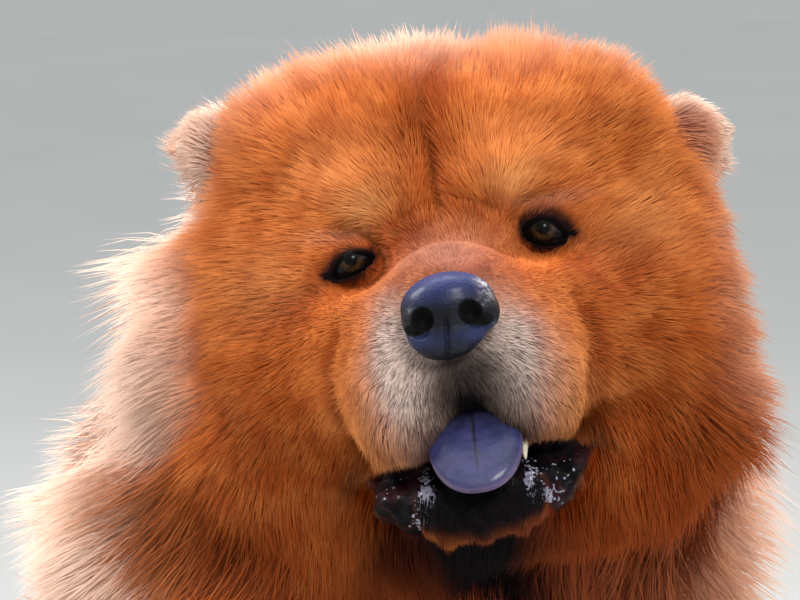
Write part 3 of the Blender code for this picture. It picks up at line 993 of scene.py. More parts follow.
def add_mouth(tint, face):
    """Adds bare, wet skin in and round the mouth, and a dark chin between its corners."""
    x, y, z = face.T
    dark = 1 - smooth_ramp(mouth_level(face), 0.93, 1.05)
    dark *= smooth_ramp(-z, 87, 92) * (1 - smooth_ramp(y, 20, 30))
    chin = (1 - smooth_ramp(np.abs(x + 1), 24, 30)) * smooth_ramp(-z, 104, 108)
    inside = egg_level(face, (0.5, -38, -86), (15, 42, 14))
    inside = np.minimum(inside, egg_level(face, (-1, -22, -99), (60, 50, 16)))
    bare = np.maximum(dark, 1 - smooth_ramp(inside, 0.94, 1.06)) * (1 - chin)
    tint["bare"] += np.maximum(bare, smooth_ramp(parting(face), 0.3, 0.6))
    tint["soot_and_shadow"] += dark * chin * (1 - smooth_ramp(-z, 114, 120))
    round_lips = smooth_ramp(-z, 96, 104) * (1 - smooth_ramp(mouth_level(face), 1.0, 1.12))
    tint["soot_and_shadow"] += 0.35 * round_lips * (y < 12)


def tints(points, shares):
    """Each tint's strength from 0 to 1, one column for each of TINTS."""
    face = in_face(points)
    x, y, z = face.T
    tint = {name: np.zeros(len(points)) for name in TINTS}
    tint["pale_and_rim_light"] += paleness_and_rim_light(points, shares)
    tint["silver"] += muzzle_silver(face)
    for name, strength, centre, radii in MIDDLE_SPOTS:
        tint[name] += strength * near(face, centre, radii)
    fan = np.abs(x - 2) / (11.5 + 0.56 * np.clip(-z - 48, 0, 60))  # opens below the nose
    under_nose = smooth_ramp(-z, 44, 52) * smooth_ramp(-y, 44, 60)
    tint["soot_and_shadow"] += 0.64 * (1 - smooth_ramp(fan, 0.45, 1.35)) * under_nose
    # Deep red and soot down the furrow of the forehead are painted shade in the crease.
    tint["deep"] += 0.95 * bell(x, 1, 7) * band(z, 6, 20, 56, 90)  # furrow of the forehead
    tint["soot_and_shadow"] += 0.5 * bell(x, -1, 2.2) * band(z, 8, 24, 50, 76)
    for side in (1, -1):
        add_side(tint, points, shares, side)
    add_mouth(tint, face)
    # Deep red and soot between the toes are painted shade in the grooves.
    tint["deep"] += 0.9 * between_toes(points)
    tint["soot_and_shadow"] += 0.4 * between_toes(points)
    return np.clip(np.stack([tint[name] for name in TINTS], axis=1), 0, 1)


def keep_on_points(obj, name, values):
    attribute = obj.data.attributes.new(name, "FLOAT", "POINT")
    attribute.data.foreach_set("value", np.ascontiguousarray(values, np.float32))


skin_shares, hair_length, hair_rise = coat_rule(skin, PARTS, 7)
skin_tints = tints(points_of(skin), skin_shares)
for index, tint in enumerate(TINTS):
    keep_on_points(skin, tint, skin_tints[:, index])
    print(f"mostly {tint}: {int((skin_tints[:, index] > 0.5).sum())} points")

# %% [markdown]
# ## Finish of skin and coat
# Both finishes mix the same tints. A hair is darkest at its root, where it is shaded by
# its neighbours, and lightest at its tip, and no two hairs are quite alike. Where the skin
# is bare, in and round the mouth, it is black, wrinkled and wet.
# %% Coat and skin finishes
# DEEP_RED and SOOT are the coat's own deep red and black hair and also painted shade, GOLD is
# partly a painted highlight on the brows, CREAM partly painted rim light, and ROOT painted shade
# among the hairs.
RED, DEEP_RED = colour(204, 96, 24), colour(146, 52, 6)
TIP, CREAM = colour(238, 158, 88), colour(255, 226, 206)
SILVER, SOOT = colour(218, 205, 196), colour(22, 19, 22)
GOLD, ROOT = colour(246, 176, 108), colour(150, 58, 10)
BLACK_SKIN, WET_RED = colour(9, 7, 11), colour(46, 18, 24)
SHADED = colour(150, 84, 60)


def coat_colour(finish, along, strand):
    """The coat's colour, for links from 0 at root to 1 at tip and from 0 to 1 by strand."""
    pale_and_rim_light, silver, soot_and_shadow, deep, gold_and_highlight = map(finish.attribute, TINTS[:-1])
    drift = finish.noise(16.0, 4.0, 0.6).between(0.35, 0.68)
    patch = finish.noise(60.0, 3.0).between(0.3, 0.7)
    hue = finish.mix(drift * 0.5 + (1 - patch) * 0.3, RED, DEEP_RED)
    # Deep red, gold, cream, root colour and soot here also carry painted shade, highlight and rim
    # light.
    hue = finish.mix(deep * 0.85, hue, DEEP_RED)
    hue = finish.mix(along.between(0.2, 1.1) * (0.3 + patch * 0.42) * (1 - deep * 0.75), hue, TIP)
    hue = finish.mix(gold_and_highlight * 0.75, hue, GOLD)
    hue = finish.mix(pale_and_rim_light * (along * 0.45 + 0.55), hue, CREAM)
    hue = finish.mix((1 - along.between(0.0, 0.5)) * (0.4 + pale_and_rim_light * -0.34), hue, ROOT)
    hue = finish.mix(silver * 0.85, hue, SILVER)
    hue = finish.mix(silver * strand.between(0.52, 0.7) * 0.6, hue, SOOT)
    return finish.mix(soot_and_shadow, hue, SOOT)


hair = Finish("red_coat", roughness=0.7, specular_ior_level=0.05)
strand = hair.attribute("shade")
tone = coat_colour(hair, hair.attribute("along"), strand)
shading = strand.between(0.1, 0.9) * (0.42 + hair.attribute("pale_and_rim_light") * -0.34)
hair.feed(base_color=hair.mix(shading, tone, SHADED, "MULTIPLY"))

hide = Finish("skin_under_coat", roughness=0.6, specular_ior_level=0.06, coat_roughness=0.12)
bare = hide.attribute("bare")
along = hide.noise(160.0, 2.0).between(0.2, 0.9) * 0.35 + 0.1
under = coat_colour(hide, along, hide.noise(900.0))
wet = hide.mix(hide.noise(60.0, 2.0).between(0.5, 0.68), BLACK_SKIN, WET_RED)
hide.feed(
    base_color=hide.mix(bare, under, wet),
    roughness=0.6 - bare * (0.2 - hide.noise(90.0) * 0.3),
    coat_weight=bare * hide.noise(210.0, 3.0).between(0.54, 0.64) * 0.5,
    normal=hide.bump(hide.noise(420.0, 4.0, 0.6), 0.0014, 0.7),
)
finished(skin, hide.material, "coat", *PARTS)

# %% [markdown]
# ## Eyes
# An eyeball is a sphere with its pole turned to the front and its middle pushed out a
# little, which gives the clear bulge of the cornea. The iris is brown with fine rays, and
# its rings are drawn by the distance from the line of sight, kept on the points. Its top
# is darkened as the painted shadow of the upper lid.
# %% Eyeballs
PUPIL_BLACK = colour(4, 4, 5)
brown_eye = Finish(
    "brown_eye", roughness=0.5, specular_ior_level=0.05, coat_weight=0.2, coat_roughness=0.03
)
off_sight = brown_eye.attribute("off_sight")  # millimetres
rays = brown_eye.noise(700.0, 3.0).between(0.3, 0.75)
iris = brown_eye.mix(rays, colour(36, 25, 13), colour(74, 53, 29))
iris = brown_eye.mix(off_sight.between(4.4, 6.0), iris, colour(12, 8, 6))
iris = brown_eye.mix(1 - off_sight.between(2.4, 3.6), iris, PUPIL_BLACK)
# Darker towards the top under the upper lid: painted shadow.
iris = brown_eye.mix(brown_eye.attribute("lid_shadow") * 0.85, iris, PUPIL_BLACK)
white = brown_eye.mix(off_sight.between(7.0, 10.0), colour(5, 4, 5), colour(12, 9, 10))
brown_eye.feed(base_color=brown_eye.mix(off_sight.between(6.0, 6.5), iris, white))

for node, side in EYES:
    centre = ball_middle(node)
    ball = renamed(egg(centre, (EYE_BALL,) * 3, (90, 0, 0), FACE, 96), node + "_ball")
    local = in_face(points_of(ball)) - centre
    sight = unit(np.array((0.02 * side, -1, 0.04)))
    ahead = local @ sight
    off = np.where(ahead > 0, np.linalg.norm(local - ahead[:, None] * sight, axis=1), 20)
    bulge = 1.2 * (1 - smooth_ramp(off, 0, 7.4))
    move_points(ball, from_face(local + sight * bulge[:, None] + centre))
    keep_on_points(ball, "off_sight", off)
    keep_on_points(ball, "lid_shadow", smooth_ramp(local[:, 2], -1.5, 3.0))
    finished(ball, brown_eye.material, "eye", node)

# %% [markdown]
# ## Rims of the lids
# Each rim starts as a torus. Its way round becomes the almond, and its small circle becomes
# a flat oval that rides on the eyeball. It is bare black skin, a little thicker above.
# %% Lid rims
SMALL_CIRCLE = 0.25  # its radius, in a torus whose large circle has a radius of 1
rim_skin = Finish("black_rim", roughness=0.8, specular_ior_level=0.04)
rim_skin.feed(
    base_color=rim_skin.mix(rim_skin.noise(500.0), colour(4, 3, 4), colour(11, 8, 9)),
    normal=rim_skin.bump(rim_skin.noise(900.0, 3.0), 0.0004, 0.6),
)

for node, side in EYES:
    bpy.ops.object.select_all(action="DESELECT")
    bpy.ops.mesh.primitive_torus_add(
        major_radius=1, minor_radius=SMALL_CIRCLE, major_segments=128, minor_segments=20
    )
    rim = renamed(bpy.context.object, node + "_rim")
    flat = points_of(rim)
    turn = np.arctan2(flat[:, 1], flat[:, 0])
    outward = (np.hypot(flat[:, 0], flat[:, 1]) - 1) / SMALL_CIRCLE
    wide, tall = almond(turn)
    thick = 1 + 0.25 * np.clip(np.sin(turn), 0, 1) + 0.35 * np.clip(np.cos(turn), 0, 1) ** 4
    reach = np.hypot(wide, tall)
    grown = (reach + (0.3 + 0.95 * outward) * thick) / reach
    wide = wide * grown * STRETCH[side][0] + OFFSET[0]
    tall = tall * grown * STRETCH[side][1] + OFFSET[1]
    across = wide * math.cos(CANT) + tall * math.sin(CANT)
    up = tall * math.cos(CANT) - wide * math.sin(CANT)
    forward = before_eye(np.hypot(across, up), 0.3 + 0.45 * flat[:, 2] / SMALL_CIRCLE)
    depth = ball_middle(node)[1] - forward
    move_points(rim, from_face(np.stack((side * (across + EYE_X), depth, up), axis=1)))
    if side < 0:
        rim.data.flip_normals()
    finished(rim, rim_skin.material, "coat")

# %% [markdown]
# ## Nose
# The nose is blocked out with eggs, melted together by a voxel remesh, and its nostrils are
# carved with more eggs. Its leather has a pebbled grain. A painted reflection of the sky
# makes it bluer and paler on the top, painted wet glints lighten it low on the front, and
# painted shade makes the nostrils near black.
# %% Nose leather
leather = Finish("nose_leather", specular_ior_level=0.2, coat_roughness=0.22)
nostril = leather.attribute("nostril")
pebbles = leather.node("TexVoronoi", None, {"Vector": leather.place(), "Scale": 1000.0})
fine = leather.noise(2500.0, 2.0)
# Bluer and paler on the top: painted reflection of the sky.
leather_sheen_and_shade = leather.mix(leather.attribute("top"), colour(9, 10, 22), colour(36, 46, 96))
# Lighter blue spots low on the front: painted wet glints.
leather_sheen_and_shade = leather.mix(leather.attribute("wet_glint") * 0.65, leather_sheen_and_shade, colour(48, 58, 106))
# Near black inside the nostrils: painted shade.
leather_sheen_and_shade = leather.mix(nostril, leather_sheen_and_shade, colour(1, 1, 2))
worn = leather.attribute("worn") * leather.noise(420.0, 3.0).between(0.42, 0.6)
leather.feed(
    base_color=leather.mix(worn * 0.85, leather_sheen_and_shade, colour(176, 168, 172)),
    roughness=0.42 + leather.noise(200.0) * 0.22 + nostril * 0.3,
    coat_weight=(0.2 + nostril * -0.2) * leather.noise(120.0).between(0.35, 0.6),
    normal=leather.bump(pebbles * -1 + fine * 0.2, 0.0005, 0.45),
)
print("finish of the nose:", leather.material.name)

# %% Nose
NOSTRIL_PLACES = (-11.3, 8.6)  # millimetres across the face
nose_flesh = [
    egg((-0.5, -72, -29.5), (20.3, 14.5, 14.5)),
    egg((0, -73, -25.5), (17.5, 13, 10)),
    egg((-1, -78, -29), (13.5, 8.5, 9)),
    egg((-2.6, -74, -40.5), (17, 10.5, 9.5)),
    egg((-3.4, -73.5, -45.5), (12.5, 8.5, 6.3)),
    *egg_pair((13, -74, -33.5), (7.8, 10.5, 9)),
]
nose = remeshed(joined("nose_leather", nose_flesh), 0.9, 8)
hollows = [
    *[egg((x, -89, -33), (5.3, 12, 5.6), (-14, 0, 0)) for x in NOSTRIL_PLACES],
    egg((-14.5, -87, -38), (6.2, 9, 3.1), (-14, 14, 0)),
    egg((12.5, -87, -37.5), (6.2, 9, 3.1), (-14, -14, 0)),
    egg((-18.6, -82, -36.8), (4.4, 9, 2.2), (-14, 34, 20)),
    egg((17.4, -82, -36.2), (4.4, 9, 2.2), (-14, -34, -20)),
]
carved(nose, remeshed(joined("nostrils", hollows), 0.6, 3))
remeshed(nose, 0.55, 3)
face = in_face(points_of(nose))
groove = bell(face[:, 0], 0.12 * (face[:, 2] + 40) - 2.2, 0.8)
groove *= smooth_ramp(-face[:, 2], 30, 38) * smooth_ramp(-face[:, 1], 72, 80)
move_points(nose, points_of(nose) - normals_of(nose) * (1.5 * groove)[:, None] * MM)
# Height on the nose, for the painted reflection of the sky on top.
keep_on_points(nose, "top", smooth_ramp(face[:, 2] - 0.25 * (face[:, 1] + 80), -31, -17))
# Inside the nostrils, for their painted shade and rougher finish.
inside = np.zeros(len(face))
for x in NOSTRIL_PLACES:
    inside = np.maximum(inside, egg_mask(face, (x, -82, -33.5), (5.6, 9.5, 5.8)))
    outer = x + 4.5 * np.sign(x)
    inside = np.maximum(inside, egg_mask(face, (outer, -81, -37.5), (6.0, 9, 3.0)))
keep_on_points(nose, "nostril", inside)
keep_on_points(nose, "worn", near(face, (16.4, -78, -22), (1.9, 8, 4.5)))
# Two spots low on the front, for painted wet glints.
wet_glint = sum(near(face, (x, -78, -43), (7, 9, 2.4)) for x in (-14, 11))
keep_on_points(nose, "wet_glint", np.clip(wet_glint, 0, 1))
finished(nose, leather.material, "nose_leather", "nose")

# %% [markdown]
# ## Tongue and tooth
# The blue-black tongue is one egg that slopes over the lower lip, with a groove down its
# middle and a paler rim. Saliva makes it shine. One upper canine shows beside it.
# %% Finish of the tongue
blue_flesh = Finish("blue_tongue", roughness=0.5, coat_weight=0.3, coat_roughness=0.14)
edge = blue_flesh.attribute("rim").between(0.95, 1.0) * 0.5
blotches = blue_flesh.noise(110.0, 3.0).between(0.3, 0.7)
flesh = blue_flesh.mix(blotches, colour(28, 32, 76), colour(52, 51, 102))
flesh = blue_flesh.mix(edge, flesh, colour(112, 84, 122))
# Darker down the groove: painted shade.
flesh = blue_flesh.mix(blue_flesh.attribute("groove") * 0.85, flesh, colour(18, 14, 30))
# Darker at the back inside the mouth: painted shadow.
flesh = blue_flesh.mix(blue_flesh.attribute("mouth_shadow") * 0.8, flesh, colour(10, 9, 20))
buds = blue_flesh.noise(1400.0, 3.0) + blue_flesh.noise(260.0) * 2
blue_flesh.feed(base_color=flesh, normal=blue_flesh.bump(buds, 0.0005, 0.5))
print("finish of the tongue:", blue_flesh.material.name)

# %% Tongue
TONGUE_MIDDLE, TONGUE_RADII, TONGUE_SLOPE = (0.9, -59, -87.5), (20, 26, 6.5), 50
half_wide, half_long, half_thick = TONGUE_RADII
slope = math.radians(TONGUE_SLOPE)

tongue = egg(TONGUE_MIDDLE, TONGUE_RADII, (TONGUE_SLOPE, 0, 0), FACE, 160)
renamed(tongue, "tongue_flesh")
local = in_face(points_of(tongue)) - np.array(TONGUE_MIDDLE)
across = local[:, 0]
forward = -(local[:, 1] * math.cos(slope) + local[:, 2] * math.sin(slope))
above = local[:, 2] * math.cos(slope) - local[:, 1] * math.sin(slope)
groove = bell(across, 0, 0.32) * (above > 0) * (1 - smooth_ramp(forward, 14, 20))
keep_on_points(tongue, "rim", np.hypot(across / half_wide, forward / half_long))
keep_on_points(tongue, "groove", groove)
# How far back inside the mouth, for the painted shadow.
keep_on_points(tongue, "mouth_shadow", 1 - smooth_ramp(forward, -14, 0))
flatter = np.sign(above) * half_thick * (np.abs(above) / half_thick) ** 0.7
flatter -= 0.35 * groove + 1.2 * bell(across, 0, 9) * (above > 0)
across = np.sign(across) * half_wide * (np.abs(across) / half_wide) ** 0.86
back = -forward * math.cos(slope) - flatter * math.sin(slope)
up = -forward * math.sin(slope) + flatter * math.cos(slope)
local = np.stack((across, back, up), axis=1)
move_points(tongue, from_face(local + np.array(TONGUE_MIDDLE)))
finished(tongue, blue_flesh.material, "tongue", "tongue")

# %% Canine
CANINE_X = 20.8
ivory = Finish("ivory", roughness=0.25, coat_weight=0.5, coat_roughness=0.1)
ivory.feed(base_color=ivory.mix(ivory.noise(300.0), colour(238, 230, 208), colour(214, 198, 164)))
tooth = egg((CANINE_X, -47.5, -86), (3.1, 3.6, 12), (-6, 4, 0), FACE, 48)
renamed(tooth, "upper_canine")
local = in_face(points_of(tooth))
taper = 1 - 0.45 * smooth_ramp(-local[:, 2], 84, 98)
local[:, 0] = CANINE_X + (local[:, 0] - CANINE_X) * taper
move_points(tooth, from_face(local))
finished(tooth, ivory.material, "tooth", "canine")

# %% [markdown]
# ## Froth
# A panting dog has a little froth at both ends of its chin. It is made of many small eggs
# that are dropped on the skin of the lower lip and melted together.
# %% Froth on the lower lip
froth = Finish("froth", roughness=0.22, coat_weight=0.5, coat_roughness=0.1)
froth.feed(base_color=froth.mix(froth.noise(500.0, 3.0), colour(62, 58, 78), colour(158, 158, 178)))
# Seed, middle across and up in the face's frame, spread across and up, and number of drops.
CLUMPS = (
    (3, (-23, -106), (3.8, 9), 170),
    (4, (-27, -117), (4.5, 6), 90),
    (5, (21, -107), (3.2, 9), 110),
    (6, (27, -114), (6, 4), 80),
    (7, (36, -102), (10, 5), 8),
    (8, (-40, -101), (7, 4), 8),
)
mesh = skin.data
lip = BVHTree.FromPolygons([v.co for v in mesh.vertices], [p.vertices for p in mesh.polygons])
backwards = FACE.to_3x3().normalized() @ Vector((0, 1, 0))
drops = []
for seed, (x, z), radii, count in CLUMPS:
    draw = np.random.default_rng(seed)
    for _ in range(count):
        spread = draw.normal(0, 0.5, 2) * radii
        start = FACE @ Vector((x + spread[0], -110, z + spread[1]))
        hit = lip.ray_cast(start, backwards)[0]
        if hit:
            radii_of_drop = draw.uniform(0.3, 0.95, 3)
            drops.append(egg(FACE.inverted() @ hit, radii_of_drop, segments=8))
finished(remeshed(joined("lip_froth", drops), 0.35, 1), froth.material, "tongue")

# %% [markdown]
# ## Claws
# The sixteen claws are copies of the solids' own, rounded by a finer remesh. Horn is smooth
# along the claw and has darker and paler patches.
# %% Claws
horn = Finish("dark_horn", roughness=0.35, coat_weight=0.3, coat_roughness=0.2)
horn.feed(base_color=horn.mix(horn.noise(180.0, 3.0), colour(34, 27, 24), colour(86, 70, 58)))
CLAWS = [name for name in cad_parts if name.startswith("claw")]
claws = remeshed(merged_copies("claws", CLAWS), 0.9, 4)
finished(claws, horn.material, "claw", *CLAWS)

# %% [markdown]
# ## Directions of growth
# Hair runs away from the nose over the whole head and droops as it lengthens. Behind the
# head it runs back and down, on the feet it runs out over the toes, and along the tail it
# follows the curl. Each point of the skin gets one direction, laid flat on the skin.
# %% Lie of the hair
HANGING = np.array((0, 0.1, -1))
EAR_HUBS = {"ear_left": (82, 92, 50), "ear_right": (-87, 92, 50)}  # in the crown's frame


def head_flow(points):
    face = in_face(points)
    away = unit(face - np.array(NOSE_FRONT))
    hanging = 0.85 * smooth_ramp(-face[:, 2], 52, 92) * (1 - smooth_ramp(face[:, 1], 40, 90))
    away += hanging[:, None] * (HANGING - away)
    droop = ramp(from_muzzle(points), (55, 0.0), (120, 0.35), (190, 0.8))
    droop *= 1 - smooth_ramp(face[:, 2], 20, 60)
    droop = np.maximum(droop, 1.3 * smooth_ramp(face[:, 1], 105, 165))
    return away @ FACE_AXES.T + droop[:, None] * HANGING


def foot_flow(points, node):
    """Out over the toes, from a point above the back of the foot."""
    low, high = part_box(node)
    ankle = ((low.x + high.x) / 2, high.y - 0.03, high.z + 0.02)
    return unit(points - np.array(ankle))


def tail_flow(points):
    """Along the curl, round its middle in the plane of the body's length and height."""
    low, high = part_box("tail")
    out_y = points[:, 1] - (low.y + 0.22 * (high.y - low.y))
    out_z = points[:, 2] - (low.z + 0.42 * (high.z - low.z))
    spread = 0.5 * (points[:, 0] - (low.x + high.x) / 2)
    return unit(np.stack((spread, -out_z, out_y), axis=1))


def part_flow(points, part):
    if part in HEAD_PARTS:
        return head_flow(points)
    if part in FEET:
        return foot_flow(points, part)
    if part == "tail":
        return tail_flow(points)
    if part in EARS:
        return unit(in_head(points) - np.array(EAR_HUBS[part])) @ HEAD_AXES.T
    return np.array(FALL[part], float)


def on_skin(flow, normals):
    """Directions laid flat on the skin."""
    return unit(flow - normals * (flow * normals).sum(axis=1, keepdims=True))


skin_points, skin_normals = points_of(skin), normals_of(skin)
skin_flow = np.zeros_like(skin_points)
for index, part in enumerate(PARTS):
    skin_flow += skin_shares[:, index : index + 1] * part_flow(skin_points, part)
for _ in range(3):
    skin_flow = relaxed(on_skin(skin_flow, skin_normals), edges_of(skin), 3)
skin_flow = on_skin(skin_flow, skin_normals)
print("directions:", len(skin_flow))

# %% [markdown]
# ## How thick the coat grows
# Fine, close hair is needed where a viewer comes nearest, on the face and the front of the
# ruff. Elsewhere broader tufts cover the skin with far fewer faces. Hair is finest on the
# muzzle, so its width and the number to a square centimetre both follow the distance from
# the nose.
# %% Number and width of hairs
BODY_GROWTH = (12.0, 1.25)  # hairs to a square centimetre, and their width in millimetres
TAIL_GROWTH = (9.0, 1.4)
MANE_GROWTH = (26.0, 0.85)
FOOT_GROWTH = (34.0, 0.95)
EAR_GROWTH = (150.0, 0.45)
# The same two by the distance from the muzzle, over the front of the head and the ruff.
HEAD_NUMBER = (25, 300), (50, 260), (75, 210), (110, 160), (160, 100), (220, 74)
HEAD_WIDTH = (25, 0.32), (50, 0.35), (75, 0.38), (110, 0.42), (160, 0.52), (220, 0.62)


def towards(growth, goal, share):
    return growth + (np.array(goal) - growth) * share[:, None]


reach, crown = from_muzzle(skin_points), in_head(skin_points)
mane = smooth_ramp(-skin_points[:, 1], 0.02, 0.12) * smooth_ramp(skin_points[:, 2], 0.34, 0.42)
front = (1 - smooth_ramp(crown[:, 1], 78, 128)) * smooth_ramp(crown[:, 2], -215, -170)
fine = np.stack((ramp(reach, *HEAD_NUMBER), ramp(reach, *HEAD_WIDTH)), axis=1)
growth = np.tile(BODY_GROWTH, (len(skin_points), 1))
growth = towards(growth, TAIL_GROWTH, share_of(skin_shares, "tail"))
growth = towards(growth, MANE_GROWTH, mane)
growth = towards(growth, fine, front)
growth = towards(growth, FOOT_GROWTH, share_of(skin_shares, *FEET))
growth = towards(growth, EAR_GROWTH, share_of(skin_shares, *EARS))
skin_density = growth[:, 0] * (1 - smooth_ramp(skin_tints[:, TINTS.index("bare")], 0.3, 0.6))
skin_width = growth[:, 1]
print("hairs to a square centimetre, at most:", round(skin_density.max()))

# %% [markdown]
# ## Roots
# Each triangle of the skin gets as many roots as its area and the density call for, at
# random places, with a fixed seed so that the coat is the same each time. A root takes
# over the skin's direction, length, tints and place on the unwrap.
# %% Scatter the roots
SQUARE_CM = 1e-4
rng = np.random.default_rng(7)
skin.data.calc_loop_triangles()
triangles = numbers_of(skin.data.loop_triangles, "vertices", 3, np.int32)
corners = numbers_of(skin.data.loop_triangles, "loops", 3, np.int32)
unwrap = numbers_of(skin.data.uv_layers["OFBake"].data, "uv", 2)[corners].astype(float)

edge_one = skin_points[triangles[:, 1]] - skin_points[triangles[:, 0]]
edge_two = skin_points[triangles[:, 2]] - skin_points[triangles[:, 0]]
areas = np.linalg.norm(np.cross(edge_one, edge_two), axis=1) / 2 / SQUARE_CM
wanted = areas * skin_density[triangles].mean(axis=1)
counts = np.floor(wanted + rng.random(len(triangles))).astype(int)
home = np.repeat(np.arange(len(triangles)), counts)
first, second = rng.random((2, len(home)))
folded = first + second > 1
first[folded], second[folded] = 1 - first[folded], 1 - second[folded]
weights = np.stack((1 - first - second, first, second), axis=1)


def at_roots(values):
    """A value of the skin's points, at every root."""
    spread = values.reshape(len(values), -1)[triangles[home]]
    return (spread * weights[:, :, None]).sum(axis=1)


root = {
    "place": at_roots(skin_points),
    "normal": unit(at_roots(skin_normals)),
    "flow": unit(at_roots(skin_flow)),
    "length": at_roots(hair_length)[:, 0],
    "rise": at_roots(hair_rise)[:, 0],
    "width": at_roots(skin_width)[:, 0],
    "tints": at_roots(skin_tints),
    "unwrap": (unwrap[home] * weights[:, :, None]).sum(axis=1),
    "part": np.argmax(at_roots(skin_shares), axis=1),
}
print("roots:", len(home))

# %% [markdown]
# ## Whiskers
# A dog has stiff dark whiskers on the sides of its muzzle. They are hairs like the others,
# only longer, straighter and black, so a few roots there are changed into whiskers.
# %% Whiskers
WHISKERS = 8  # on each side
root_face = in_face(root["place"])
for side in (1, -1):
    bed = near(root_face * (side, 1, 1), (35, -46, -62), (9, 40, 12))
    rows = rng.choice(np.flatnonzero(bed > 0.55), WHISKERS, replace=False)
    root["length"][rows] = rng.uniform(23, 34, WHISKERS)
    root["rise"][rows] = rng.uniform(14, 30, WHISKERS)
    root["width"][rows] = 0.3
    root["flow"][rows] = unit(root["flow"][rows] + 0.7 * FACE_AXES @ np.array((side, 0.8, -0.2)))
    root["tints"][rows] = 0
    root["tints"][rows, TINTS.index("soot_and_shadow")] = 0.95
print("whiskers:", 2 * WHISKERS)

# %% [markdown]
# ## Shape of a hair
# A hair leaves the skin steeply, then bends over the way the coat lies. Neighbours lean
# together into locks with a common tip, more so the longer they are, and long hair waves a
# little. Every hair is a narrow blade: two points at each station and one at the tip.
# %% Grow the hairs
ABOVE_FLOOR = 0.0006  # the lowest a hair may lie, in metres
WIDEST, HINDMOST = 0.204, 0.384  # hairs that reach farther than this are pressed in
PRESS = 0.6  # by this share of what lies beyond


def wander(points, size, seed):
    """A smooth random direction at each point, that changes over a size in metres."""
    draw = np.random.default_rng(seed)
    total = np.zeros_like(points)
    for _ in range(6):
        wave = draw.normal(size=3) / size
        phase = draw.random(3) * 2 * math.pi
        total += np.sin((points @ wave)[:, None] + phase)
    return total / 3


def hair_curves(chosen, stations):
    """Points along each chosen hair, at shares of its length from root to tip."""
    place, normal, flow = root["place"][chosen], root["normal"][chosen], root["flow"][chosen]
    count = len(chosen)
    uneven = 0.72 + 0.32 * rng.random(count) + 0.12 * rng.random(count) ** 8
    length = root["length"][chosen] * MM * uneven
    rise = np.radians(root["rise"][chosen] * (1 + 0.16 * rng.normal(size=count)))[:, None]
    swirl = wander(place, 0.035, 1) * 0.28 + wander(place, 0.009, 2) * 0.26
    flow = unit(flow + swirl + rng.normal(0, 0.11, place.shape))
    steep = np.sin(rise * 1.35) * normal + np.cos(rise * 1.35) * flow
    flat = np.sin(rise * 0.6) * normal + np.cos(rise * 0.6) * flow
    droop = np.array((0, 0, -0.12))
    sideways = unit(np.cross(normal, flow))
    wave = 0.06 * np.sin(rng.random(count) * 6.28) * smooth_ramp(length, 0.008, 0.02)
    curves = []
    for share in stations:
        step = steep * share + (flat - steep + droop) * share**2 / 2
        step = step + sideways * wave[:, None] * math.sin(share * 5.0)
        curves.append(place + step * length[:, None])
    curves = np.stack(curves, axis=1)
    curves[:, :, 2] = np.maximum(curves[:, :, 2], ABOVE_FLOOR)
    beyond = np.maximum(np.abs(curves[:, :, 0]) - WIDEST, 0)
    curves[:, :, 0] -= PRESS * beyond * np.sign(curves[:, :, 0])
    curves[:, :, 1] -= PRESS * np.maximum(curves[:, :, 1] - HINDMOST, 0)
    return curves


def gathered(curves, chosen, stations, per_lock, pull):
    """Hairs lean towards the middle one of their lock, some locks more than others."""
    count = max(1, len(chosen) // per_lock)
    middles = rng.choice(len(chosen), count, replace=False)
    tree = KDTree(count)
    for index, middle_hair in enumerate(middles):
        tree.insert(root["place"][chosen[middle_hair]], index)
    tree.balance()
    lock = np.array([tree.find(place)[1] for place in root["place"][chosen]])
    offset = curves[middles[lock]] - curves
    own_pull = pull * (0.4 + 1.2 * rng.random(count))[lock]
    leaning = own_pull[:, None] * (np.array(stations) ** 1.5)[None, :]
    return curves + offset * leaning[:, :, None], rng.random(count)[lock]


def blades(curves, chosen, stations):
    """Half widths across each hair and the direction that its flat side faces."""
    along = unit(np.gradient(curves, axis=1))
    normal = unit(root["normal"][chosen] + rng.normal(0, 0.2, (len(chosen), 3)))
    across = unit(np.cross(along, normal[:, None, :]))
    taper = np.interp(stations, (0, 0.35, 0.7, 1), (0.9, 1, 0.6, 0))
    half = root["width"][chosen] * MM / 2 * (0.7 + 0.6 * rng.random(len(chosen)))
    return across * (half[:, None] * taper)[:, :, None], np.cross(across, along)


print("longest hair:", round(float(root["length"].max())), "mm")


# %% [markdown]
# ## From blades to meshes
# Some three hundred thousand blades are too many to make one by one with operators, so whole
# arrays of points, faces and corners go into each mesh at once. The shading normals lean
# towards the skin's own, which makes the coat look soft and not like so many slips of
# paper. Pieces stay under 200,000 triangles.
# %% Build a piece of the coat
PATCH = 0.003  # side of a hair's patch on the unwrap
SOFTNESS = 0.76  # share of the skin's normal in a hair's
MOST_TRIANGLES = 190_000


